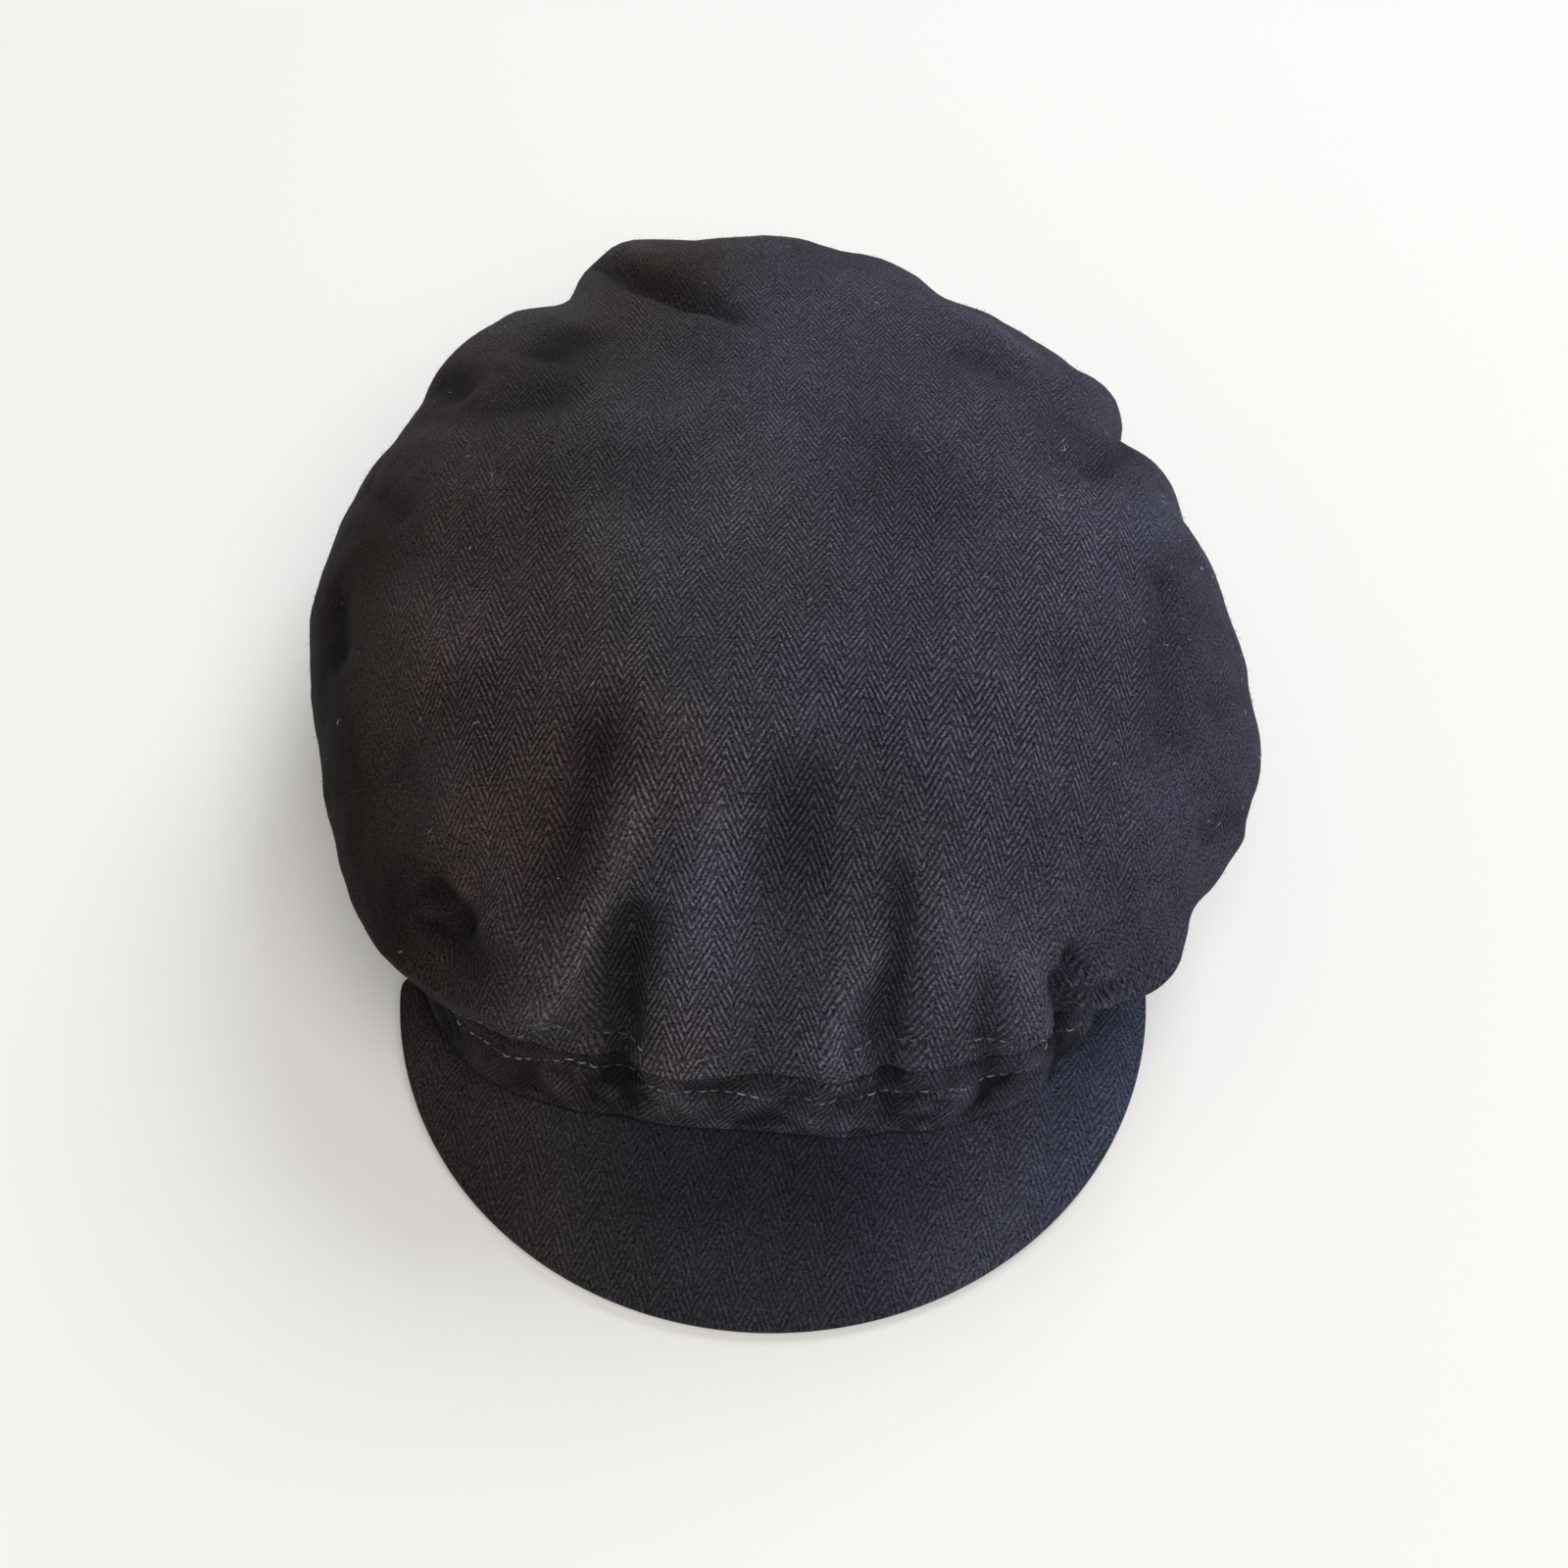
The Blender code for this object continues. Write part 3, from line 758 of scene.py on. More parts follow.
def crown_cage(angles):
    """Gives the crown's smooth rows from the seam to the middle, and each row's share of the way."""
    height = front_lift(angles) + band_height(angles) + SEAM_GAP
    radius = seam_radius(angles)
    seam = np.stack([radius * np.cos(angles), radius * np.sin(angles), height], axis=1)
    ways = np.arctan2(seam[:, 1] - CROWN_SET_BACK, seam[:, 0])
    to_front = np.maximum(-np.sin(ways), 0.0)

    def rim(dented):
        reach = rim_radius(ways, dented)
        away = CROWN_SET_BACK + reach * np.sin(ways)
        return np.stack([reach * np.cos(ways), away, rim_height(ways)], axis=1)

    rows, shares = [], []
    for section in UNDER_SECTIONS:
        whole = rim(1.0)
        up = section["back"] + (section["front"] - section["back"]) * to_front
        row = seam + (whole - seam) * section["out"]
        row[:, 2] = seam[:, 2] + (whole[:, 2] - seam[:, 2]) * up
        rows.append(row)
        shares.append(UNDER_SHARE * section["out"])
    middle = np.array([0.0, CROWN_SET_BACK, CROWN_MIDDLE_HEIGHT])
    for section in CROWN_SECTIONS:
        whole = rim(section["out"] ** DENT_FADE)
        end = np.where(np.sin(ways) > 0, section["back"], section["front"])
        rise = section["side"] + (end - section["side"]) * np.sin(ways) ** 2
        row = middle + (whole - middle) * section["out"]
        row[:, 2] = whole[:, 2] + (middle[2] - whole[:, 2]) * rise
        rows.append(row)
        shares.append(1.0 - (1.0 - UNDER_SHARE) * section["out"])
    return np.array(rows), np.array(shares), ways


def unit(vectors):
    return vectors / np.maximum(np.linalg.norm(vectors, axis=-1, keepdims=True), TINY)


def level_outward(angles):
    """Gives the level way out from the middle, as one row of a grid."""
    return np.stack([np.cos(angles), np.sin(angles), np.zeros_like(angles)], axis=1)[None, :, :]


def normals_of(grid):
    """Gives a grid's outward normals, where its rows run round the cap and close, and its columns run up."""
    around = np.roll(grid, -1, axis=1) - np.roll(grid, 1, axis=1)
    return unit(np.cross(around, np.gradient(grid, axis=0)))


def crown_surface(angles, rows):
    """Gives the crown's grid from the seam to the middle, with each row's share and each column's way."""
    cage, shares, ways = crown_cage(angles)
    lengths = np.linalg.norm(np.diff(cage, axis=0), axis=2).mean(axis=1)
    places = np.concatenate([[0.0], np.cumsum(lengths)])
    new_places = places[-1] * np.linspace(0.0, 1.0, rows) ** SEAM_CROWDING
    grid = along_rows(cage, places, new_places)
    share = np.interp(new_places, places, shares)
    return grid, share, ways


def outward_from(grid, angles, share):
    """Gives the way out of the crown's cloth: level under the rim, and square to the surface above it."""
    over = smooth_step((share - UNDER_SHARE) / SQUARE_BY)[:, None, None]
    return unit(level_outward(angles) * (1.0 - over) + normals_of(grid) * over)


def fold_crown(grid, angles, share):
    """Presses the large folds in."""
    depth = fold_depth(angles[None, :], share[:, None])
    return grid - outward_from(grid, angles, share) * depth[:, :, None]


def waves(points, wavelength, seed):
    """Gives a soft random height of about unit size at each point, from seeded waves of about one length."""
    chance = np.random.default_rng(seed)
    ways = chance.normal(size=(WAVES, 3))
    ways *= 2.0 * math.pi / wavelength / np.linalg.norm(ways, axis=1, keepdims=True)
    ways *= chance.uniform(0.7, 1.4, size=(WAVES, 1))
    phases = chance.uniform(0.0, 2.0 * math.pi, size=WAVES)
    return np.sin(points @ ways.T + phases).sum(axis=-1) * math.sqrt(2.0 / WAVES)


def ripples(points, piece):
    """Gives the height of a piece's own ripples at each point, in metres."""
    high = [row["high"] * waves(points, row["long"], row["seed"]) for row in RIPPLES if row["piece"] == piece]
    return sum(high) * MM


def read_grid(grid, angles, share, at, up):
    """Reads the grid's points at degrees round the cap and shares of the way up."""
    turns = np.unwrap(angles)
    first = turns[0]
    wanted = first + (np.radians(at) - first) % (2.0 * math.pi)
    places = np.interp(wanted, np.append(turns, first + 2.0 * math.pi), np.arange(len(turns) + 1))
    rows = np.clip(np.interp(up, share, np.arange(len(share))), 0.0, len(share) - 1.001)
    low, left = rows.astype(int), places.astype(int)
    high_way, right_way = (rows - low)[:, None], (places - left)[:, None]
    left, right = left % len(turns), (left + 1) % len(turns)
    below = grid[low, left] * (1.0 - right_way) + grid[low, right] * right_way
    above = grid[low + 1, left] * (1.0 - right_way) + grid[low + 1, right] * right_way
    return below * (1.0 - high_way) + above * high_way


def crease_heights(grid, angles, share, creases):
    """Gives how far every point of the grid is pressed in by the creases, in metres."""
    pressed = np.zeros(grid.shape[:2])
    for crease in creases:
        path = np.array(crease["path"])
        path[:, 0] = np.unwrap(path[:, 0], period=360.0)
        ends = np.linspace(0.0, 1.0, len(path))
        ways = np.linspace(0.0, 1.0, 10 * len(path))
        places = along_rows(path[:, None, :], ends, ways)[:, 0, :]
        line = read_grid(grid, angles, share, places[:, 0], places[:, 1])
        reach = CREASE_FELT * crease["wide"] * MM
        near = np.all((grid > line.min(axis=0) - reach) & (grid < line.max(axis=0) + reach), axis=2)
        points = grid[near]
        away = np.linalg.norm(points[:, None, :] - line[None, :, :], axis=2)
        closest = away.argmin(axis=1)
        power = CRISP_POWER if crease["crisp"] else SOFT_POWER
        across = np.exp(-((away.min(axis=1) / (crease["wide"] * MM)) ** power))
        start, stop = crease["starts"], crease["stops"]
        grown = start + (1.0 - start) * smooth_step(ways[closest] / CREASE_ENDS)
        left = stop + (1.0 - stop) * smooth_step((1.0 - ways[closest]) / CREASE_ENDS)
        pressed[near] += crease["deep"] * MM * across * grown * left
    return pressed


def seam_puckers(angles, share, reach):
    """Gives the seam's small puckers, which fade out within a share of the way up or down."""
    chance = np.random.default_rng(SEEDS["puckers"])
    pressed = np.zeros((len(share), len(angles)))
    for middle in np.arange(-180.0, 180.0, PUCKER_SPACING):
        at = math.radians(middle + chance.uniform(-PUCKER_SHIFT, PUCKER_SHIFT))
        wide = math.radians(chance.uniform(*PUCKER_WIDE))
        deep = chance.normal() * PUCKER_DEEP * MM
        lean = chance.uniform(-PUCKER_LEAN, PUCKER_LEAN)
        end = reach * chance.uniform(*PUCKER_ENDS)
        turn = angle_between(angles[None, :], at + math.radians(lean) * share[:, None] / reach)
        pressed += deep * np.exp(-((turn / wide) ** 2)) * (1.0 - smooth_step(share / end))[:, None]
    return pressed


def run_along(points):
    """Gives each point's length from the first, along a line of points or up each column of a grid."""
    steps = np.linalg.norm(np.diff(points, axis=0), axis=-1)
    return np.concatenate([np.zeros((1,) + steps.shape[1:]), np.cumsum(steps, axis=0)])


def crown_pressed(grid, angles, share):
    """Gives how far the creases and the folds across the seam press the crown in, in metres."""
    run = run_along(grid)
    folded = 1.0 - smooth_step((run - SEAM_FOLDS_FULL) / SEAM_FOLDS_FADE)
    creased = smooth_step((run - CREASES_START) / CREASES_GROW)
    creases = crease_heights(grid, angles, share, CREASES)
    return creased * creases + folded * seam_folds(angles, "deep")[None, :]


def seam_groove(run, rounding=SEAM_ROUNDING, deep=SEAM_TUCK):
    """Gives how far the cloth's edge is tucked in, at each length of cloth from it."""
    return deep * (1.0 - smooth_step(run / rounding))


def stitch_dip(run, stitches):
    """Gives how far a row of stitches draws the cloth in, at each length of cloth from the edge."""
    return STITCH_DIP * np.exp(-(((run - stitches) / STITCH_DIP_WIDE) ** 2))


def deepest_near(pressed):
    """Gives the crown's lining the deepest press near each of its points, which keeps it under the cloth."""
    deepest = pressed.copy()
    for rows in range(-LINING_STEP - 1, LINING_STEP + 2):
        shifted = pressed[np.clip(np.arange(CROWN_ROWS) + rows, 0, CROWN_ROWS - 1)]
        for columns in range(-LINING_STEP, LINING_STEP + 1):
            deepest = np.maximum(deepest, np.roll(shifted, columns, axis=1))
    rows = np.linspace(0, CROWN_ROWS - 1, LINING_ROWS).round().astype(int)
    return deepest[rows][:, ::LINING_STEP]


def crown_height(x, y):
    """Gives the height of the crown's smooth top over a place in plan."""
    away_y = y - CROWN_SET_BACK
    way = np.arctan2(away_y, x)
    out = np.clip(np.hypot(x, away_y) / rim_radius(way, 0.0), 0.0, 1.0)
    outs = column(CROWN_SECTIONS, "out")[::-1]
    front, side, back = (np.interp(out, outs, column(CROWN_SECTIONS, name)[::-1])
                         for name in ("front", "side", "back"))
    end = np.where(np.sin(way) > 0, back, front)
    rise = side + (end - side) * np.sin(way) ** 2
    rim = rim_height(way)
    return rim + (CROWN_MIDDLE_HEIGHT - rim) * rise


def laid_length(x, y, start, along_x):
    """Gives the length of cloth from a start line to each place, laid over the crown along one axis."""
    total = np.zeros_like(x)
    span = (x if along_x else y) - start
    before = None
    for step in range(LAID_STEPS + 1):
        place = start + span * step / LAID_STEPS
        height = crown_height(place, y) if along_x else crown_height(x, place)
        if before is not None:
            total += np.hypot(span / LAID_STEPS, height - before)
        before = height
    return np.sign(span) * total


def crown_cloth_places(grid, ways):
    """Gives each point of the crown its place on the flat cloth, in metres.

    Over the top the place comes from lengths laid along both axes. Round the rim and under it the cloth
    goes on outwards by its own run, from the rim itself at the front and from further in elsewhere.
    """
    reach = np.hypot(grid[:, :, 0], grid[:, :, 1] - CROWN_SET_BACK).mean(axis=1)
    rim_row = int(np.argmax(reach))
    inner_row = rim_row + int(np.argmax(reach[rim_row:] < CLOTH_LAID_TO * reach[rim_row]))
    top = grid[rim_row:]
    laid = np.zeros(grid.shape[:2] + (2,))
    laid[rim_row:, :, 0] = laid_length(top[:, :, 0], top[:, :, 1], 0.0, True)
    laid[rim_row:, :, 1] = laid_length(top[:, :, 0], top[:, :, 1], CROWN_SET_BACK, False)
    outward = np.stack([np.cos(ways), np.sin(ways)], axis=1)
    runs = np.linalg.norm(np.diff(grid, axis=0), axis=2)

    def gone_on_from(start):
        places = laid.copy()
        for row in range(start - 1, -1, -1):
            places[row] = places[row + 1] + outward * runs[row][:, None]
        return places

    front = (1.0 - smooth_step((np.sin(ways) - LAID_FRONT_FULL) / LAID_FRONT_FADE))[None, :, None]
    places = gone_on_from(inner_row) * (1.0 - front) + gone_on_from(rim_row) * front
    return turned(places, CROWN_CLOTH_TURN)


def turned(places, turn):
    """Turns places on the cloth about its middle."""
    across, along = places[..., 0], places[..., 1]
    new_across = across * math.cos(turn) - along * math.sin(turn)
    return np.stack([new_across, across * math.sin(turn) + along * math.cos(turn)], axis=-1)


def link_object(name, mesh):
    thing = bpy.data.objects.new(name, mesh)
    bpy.context.scene.collection.objects.link(thing)
    return thing


def mesh_piece(name, points, faces, material, places=None, marks=None):
    """Makes a smooth piece that rides on the cap, with its places on the cloth and its marks, if any."""
    mesh = bpy.data.meshes.new(name)
    mesh.from_pydata(to_part(points).tolist(), [], faces)
    mesh.update()
    if places is not None:
        layer = mesh.uv_layers.new(name="cloth")
        corners = np.zeros(len(mesh.loops), dtype=np.int32)
        mesh.loops.foreach_get("vertex_index", corners)
        layer.data.foreach_set("uv", places[corners].astype(np.float32).ravel())
    for label, values in (marks or {}).items():
        mark = mesh.attributes.new(label, "FLOAT", "POINT")
        mark.data.foreach_set("value", values.astype(np.float32))
    mesh.shade_smooth()
    mesh.materials.append(material)
    piece = link_object(name, mesh)
    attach(piece, "root")
    return piece


def ring_faces(lower, upper, columns):
    """Joins two closed rings of points, given by their first indices."""
    pairs = [(k, (k + 1) % columns) for k in range(columns)]
    return [(lower + k, lower + after, upper + after, upper + k) for k, after in pairs]


def crease_shade_and_ridge_rubbing(pressed):
    """Gives a mark above nought where the cloth stands up, lighter there partly by rubbing and partly as a
    painted highlight, and below nought in the creases, darker there as painted shade.
    """
    return np.clip(-pressed / (FULL_SHADE_AND_RUBBING * MM), -1.0, 1.0)


def painted_light_share_at(points, patched=0.0):
    """Gives the painted light at each point, from 0 for painted shade at the left to 1 for painted light at
    the right, lowered in the patches of painted shade.
    """
    along = points[:, 0] * PAINTED_LIGHT_WAY[0] + points[:, 1] * PAINTED_LIGHT_WAY[1]
    drift = PAINTED_LIGHT_DRIFT * waves(points, PAINTED_LIGHT_DRIFT_LENGTH, SEEDS["painted_light_tint"])
    faded = 0.5 + 0.5 * along / PAINTED_LIGHT_REACH + drift
    return np.clip(faded - patched, 0.0, 1.0)


def patches_over(points, grid, angles, share, measure):
    """Gives at each point the sum of one measure of the crown's patches of painted light and shade."""
    middles = read_grid(grid, angles, share, column(PAINTED_LIGHT_PATCHES, "at"), column(PAINTED_LIGHT_PATCHES, "up"))
    total = np.zeros(len(points))
    for middle, row in zip(middles, PAINTED_LIGHT_PATCHES):
        away = np.linalg.norm(points - middle, axis=1) / (row["wide"] * MM)
        total += row[measure] * np.exp(-(away**2))
    return total


def rubbed_on(grid, angles, share):
    """Gives how far the crown's weave is rubbed away, from 0 to 1."""
    start, fade = RUBBED_RIM
    round_rim = 1.0 - smooth_step((share - start) / fade)
    rubbed = round_rim[:, None] * (1.0 - RUBBED_LESS_AT_FRONT * front_share(angles))[None, :]
    for side, away in ((RUBBED_BACK, grid[:, :, 1] + RUBBED_BACK["from"]),
                       (RUBBED_LEFT, -grid[:, :, 0] - RUBBED_LEFT["from"])):
        rubbed = rubbed + side["most"] * smooth_step(away / side["over"])
    return np.clip(rubbed, 0.0, 1.0)


def crown_lining(angles, pressed):
    """Makes the crown's inner face, a little coarser than the cloth, with its places on the flat cloth."""
    grid, share, ways = crown_surface(angles, LINING_ROWS)
    places = crown_cloth_places(grid, ways)
    grid = fold_crown(grid, angles, share)
    tucked = seam_groove(share, LINING_TUCK_ENDS)[:, None]
    return grid - outward_from(grid, angles, share) * (CLOTH_WALL + pressed + tucked)[:, :, None], places


def crown_faces(columns):
    """Joins the crown's rows and the lining's, closes the middle of both, and joins them at the seam."""
    start = CROWN_ROWS * COLUMNS
    last = start + (LINING_ROWS - 1) * columns
    faces = []
    for row in range(CROWN_ROWS - 1):
        faces += ring_faces(row * COLUMNS, (row + 1) * COLUMNS, COLUMNS)
    for row in range(LINING_ROWS - 1):
        lower = start + row * columns
        faces += [face[::-1] for face in ring_faces(lower, lower + columns, columns)]
    faces.append(tuple(range((CROWN_ROWS - 1) * COLUMNS, CROWN_ROWS * COLUMNS)))
    faces.append(tuple(range(last + columns - 1, last - 1, -1)))
    for index in range(columns):
        outer = [(index * LINING_STEP + k) % COLUMNS for k in range(LINING_STEP, -1, -1)]
        faces.append(tuple([start + index, start + (index + 1) % columns] + outer))
    return faces


def make_crown(material):
    angles = column_angles(COLUMNS)
    grid, share, ways = crown_surface(angles, CROWN_ROWS)
    places = crown_cloth_places(grid, ways)
    grid = fold_crown(grid, angles, share)
    pressed = crown_pressed(grid, angles, share)
    lining_pressed = deepest_near(pressed)
    pressed += seam_puckers(angles, share, CROWN_PUCKERS_REACH)
    calm = CALM_LEFT + (1.0 - CALM_LEFT) * smooth_step((share - CALM_RIM[0]) / CALM_RIM[1])
    calm *= smooth_step(share / CALM_TO)
    pressed += calm[:, None] * ripples(grid, "crown") + ripples(grid, "crown face")
    run = run_along(grid)
    sunk = pressed + seam_groove(run) + stitch_dip(run, CROWN_STITCHES_UP)
    grid = grid - outward_from(grid, angles, share) * sunk[:, :, None]
    lining, lining_places = crown_lining(angles[::LINING_STEP], lining_pressed)

    points = np.concatenate([grid.reshape(-1, 3), lining.reshape(-1, 3)])
    all_places = np.concatenate([places.reshape(-1, 2), lining_places.reshape(-1, 2)])
    lining_unmarked = np.zeros(lining.shape[0] * lining.shape[1])
    # The crown's marks: painted shade in its creases and hollows, ridges lightened partly by rubbing and
    # partly as a painted highlight, the patches of painted light and shade, and a tint of painted shade at
    # the left and painted light at the right
    worn = np.concatenate([crease_shade_and_ridge_rubbing(pressed).ravel(), lining_unmarked])
    rubbed = rubbed_on(grid, angles, share).ravel()
    marks = {"worn": worn + patches_over(points, grid, angles, share, "worn"),
             "faded": painted_light_share_at(points, patches_over(points, grid, angles, share, "less")),
             "brushed": np.concatenate([rubbed, np.ones_like(lining_unmarked)])}
    faces = crown_faces(lining.shape[1])
    crown = mesh_piece("crown_cloth", points, faces, material, all_places, marks)
    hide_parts("crown")
    return crown, grid, angles, share, places


def make_band(material):
    angles = column_angles(COLUMNS)
    outer_ups = np.linspace(0.0, 1.0, BAND_ROWS)
    lining_ups = np.linspace(1.0, 0.0, BAND_LINING_ROWS)
    folds = seam_folds(angles, "deep")[None, :]

    def wall(ups, inward):
        leaned = band_radius(angles) - seam_radius(angles) + fold_depth(angles, np.zeros(1))
        radius = band_radius(angles)[None, :] - inward - smooth_step(ups)[:, None] * leaned
        radius = radius - (SEAM_FOLDS_LEFT + (1.0 - SEAM_FOLDS_LEFT) * ups)[:, None] * folds
        height = front_lift(angles)[None, :] + ups[:, None] * band_height(angles)[None, :]
        return np.stack([radius * np.cos(angles), radius * np.sin(angles), height], axis=2)

    outer = wall(outer_ups, 0.0)
    pressed = crease_heights(outer, angles, outer_ups, BAND_CREASES)
    pressed += seam_puckers(angles, 1.0 - outer_ups, BAND_PUCKERS_REACH)
    held = smooth_step(outer_ups / BAND_HELD_BELOW) * smooth_step((1.0 - outer_ups) / BAND_HELD_ABOVE)
    pressed += held[:, None] * ripples(outer, "band")
    down = (1.0 - outer_ups)[:, None] * band_height(angles)[None, :]
    up = outer_ups[:, None] * band_height(angles)[None, :]
    tucked = seam_groove(down) + seam_groove(up, EDGE_ROUNDING, EDGE_TUCK)
    sunk = pressed + tucked + stitch_dip(down, BAND_STITCHES_DOWN)
    outer = outer - level_outward(angles) * sunk[:, :, None]
    lining = wall(lining_ups, BAND_WALL)
    lining_pressed = crease_heights(wall(outer_ups, BAND_WALL), angles, outer_ups, BAND_CREASES)
    rows = [int(round(up * (BAND_ROWS - 1))) for up in lining_ups]
    lining = lining - level_outward(angles) * lining_pressed[rows][:, :, None]

    grid = np.concatenate([outer, lining])
    count = len(grid)
    faces = []
    for row in range(count):
        faces += ring_faces(row * COLUMNS, ((row + 1) % count) * COLUMNS, COLUMNS)
    around = run_along(wall(outer_ups, 0.0)[0])
    ups = np.concatenate([outer_ups, lining_ups])
    places = np.stack(np.broadcast_arrays(around[None, :], ups[:, None] * BAND_HEIGHT), axis=2)
    flat = turned(places.reshape(-1, 2), BAND_CLOTH_TURN)
    points = grid.reshape(-1, 3)
    # The band's marks: painted shade in its creases and under the folds across its seam, its lower edge
    # rubbed lighter in patches, and a tint of painted shade at the left and painted light at the right
    folded = folds * (SEAM_SHADE_LEFT + (1.0 - SEAM_SHADE_LEFT) * outer_ups)[:, None]
    patchy = np.clip(waves(outer, EDGE_WEAR_LENGTH, SEEDS["edge"]), 0.0, EDGE_WEAR_MOST)
    edge = EDGE_WEAR * patchy * (1.0 - smooth_step(outer_ups / EDGE_WEAR_ENDS))[:, None]
    worn = (crease_shade_and_ridge_rubbing(2.0 * pressed + folded) + edge).ravel()
    marks = {"worn": np.concatenate([worn, np.zeros(lining.shape[0] * lining.shape[1])]),
             "faded": painted_light_share_at(points), "brushed": np.zeros(len(points))}
    band = mesh_piece("band_cloth", points, faces, material, flat, marks)
    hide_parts("band")
    return band, outer


def make_peak(material):
    share = np.linspace(-1.0, 1.0, PEAK_COLUMNS)
    angle = FRONT + share * PEAK_HALF_SPAN
    seat = front_lift(angle) - SEAM_GAP
    radius = band_radius(angle)
    start = np.stack([radius * np.cos(angle), radius * np.sin(angle)], axis=1)
    inner = start * ((radius - PEAK_TUCK) / radius)[:, None]
    turn = FRONT + share * PEAK_END_TURN
    away = PEAK_REACH * np.sin(turn) - PEAK_SET_FORWARD
    edge = np.stack([PEAK_HALF_WIDTH * np.cos(turn), away], axis=1)
    near_end = np.clip((np.abs(share) - PEAK_ROUNDS_FROM) / (1.0 - PEAK_ROUNDS_FROM), 0.0, 1.0)
    rounded = np.sqrt(1.0 - PEAK_ROUNDS_BY * near_end**2)
    edge = start + (edge - start) * rounded[:, None]
    edge_top = PEAK_THICKNESS + PEAK_SIDE_RISE * smooth_step(np.abs(share))
    outs = np.linspace(0.0, PEAK_TOP_ENDS, PEAK_ROWS)
    arch = np.interp(outs, column(PEAK_SECTIONS, "out"), column(PEAK_SECTIONS, "arch"))
    ends = smooth_step((1.0 - np.abs(share)) / PEAK_ENDS_CALM)
    top = [np.column_stack([inner, seat])]
    for out, rise in zip(outs, arch):
        flat = start + (edge - start) * out
        row = np.column_stack([flat, seat + (edge_top - seat) * out + PEAK_ARCH * rise])
        free = smooth_step(out / PEAK_SEAT_CALM) * smooth_step((1.0 - out) / PEAK_EDGE_CALM) * ends
        row[:, 2] += free * ripples(row, "peak")
        row[:, 2] -= free * PEAK_GROOVE * np.exp(-(((1.0 - out - PEAK_GROOVE_IN) / PEAK_GROOVE_WIDE) ** 2))
        top.append(row)
    half = PEAK_THICKNESS / 2.0
    under = [row - np.array([0.0, 0.0, PEAK_THICKNESS]) for row in reversed(top)]
    rounds = []
    for turn_down in np.radians(PEAK_EDGE_TURNS):
        reach = PEAK_TOP_ENDS + (1.0 - PEAK_TOP_ENDS) * math.sin(turn_down)
        flat = start + (edge - start) * reach
        rounds.append(np.column_stack([flat, edge_top - half + half * math.cos(turn_down)]))
    sections = np.array(top + rounds + under)
    rows = len(sections)
    points = sections.transpose(1, 0, 2).reshape(-1, 3)
    faces = []
    for index in range(PEAK_COLUMNS - 1):
        left, right = index * rows, (index + 1) * rows
        for row in range(rows):
            after = (row + 1) % rows
            faces.append((left + row, right + row, right + after, left + after))
    faces.append(tuple(range(rows - 1, -1, -1)))
    faces.append(tuple((PEAK_COLUMNS - 1) * rows + row for row in range(rows)))
    # The peak's marks are painted light and shade: darker over the whole peak and most towards the band,
    # where the band's painted shadow lies, and lighter towards its right and left ends
    (right, right_from, right_over), (left, left_from, left_over) = PEAK_PAINTED_LIGHT["right"], PEAK_PAINTED_LIGHT["left"]
    less, band_shadow_from, band_shadow_over = PEAK_PAINTED_LIGHT["band"]
    worn = right * smooth_step((points[:, 0] - right_from) / right_over) - PEAK_PAINTED_SHADE
    worn += left * smooth_step((-points[:, 0] - left_from) / left_over)
    worn -= less * smooth_step((points[:, 1] + band_shadow_from) / band_shadow_over)
    marks = {"worn": worn, "faded": painted_light_share_at(points), "brushed": np.zeros(len(points))}
    flat = turned(points[:, :2], PEAK_CLOTH_TURN)
    peak = mesh_piece("peak_cloth", points, faces, material, flat, marks)
    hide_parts("peak")


def threads(name, runs, radius, sides, ends, material):
    """Makes one mesh of many short threads, each a tube along its own run of points, thinner at its ends."""
    runs = np.asarray(runs)
    count, steps = runs.shape[:2]
    along = unit(np.gradient(runs, axis=1))
    aside = unit(np.cross(along, np.array(THREADS_TURN_FROM)))
    over = np.cross(along, aside)
    thick = radius * np.interp(np.linspace(0.0, 1.0, steps), THREAD_TAPER, (ends, 1.0, 1.0, ends))
    turns = np.arange(sides) * 2.0 * math.pi / sides
    ring = (aside[:, :, None, :] * np.cos(turns)[None, None, :, None]
            + over[:, :, None, :] * np.sin(turns)[None, None, :, None])
    points = (runs[:, :, None, :] + ring * thick[None, :, None, None]).reshape(-1, 3)
    faces = []
    for thread in range(count):
        first = thread * steps * sides
        for step in range(steps - 1):
            faces += ring_faces(first + step * sides, first + (step + 1) * sides, sides)
        faces.append(tuple(first + k for k in range(sides - 1, -1, -1)))
        faces.append(tuple(first + (steps - 1) * sides + k for k in range(sides)))
    return mesh_piece(name, points, faces, material)


def stitch_row(name, line, skin, material, seed):
    """Sews a row of stitches along a closed line of points on the cloth, with its outward normals."""
    chance = np.random.default_rng(seed)
    closed = np.vstack([line, line[:1]])
    skin = np.vstack([skin, skin[:1]])
    run = run_along(closed)
    count = int(run[-1] / STITCH_PITCH)
    lift = np.array(STITCH_RISE) * STITCH_RADIUS
    runs = []
    for stitch in range(count):
        start = stitch * run[-1] / count + chance.uniform(-STITCH_SHIFT, STITCH_SHIFT)
        places = start + STITCH_LENGTH * np.linspace(0.0, 1.0, len(lift))
        points = np.column_stack([np.interp(places, run, closed[:, axis]) for axis in range(3)])
        outward = np.column_stack([np.interp(places, run, skin[:, axis]) for axis in range(3)])
        runs.append(points + outward * lift[:, None])
    return threads(name, runs, STITCH_RADIUS, STITCH_SIDES, STITCH_ENDS, material)


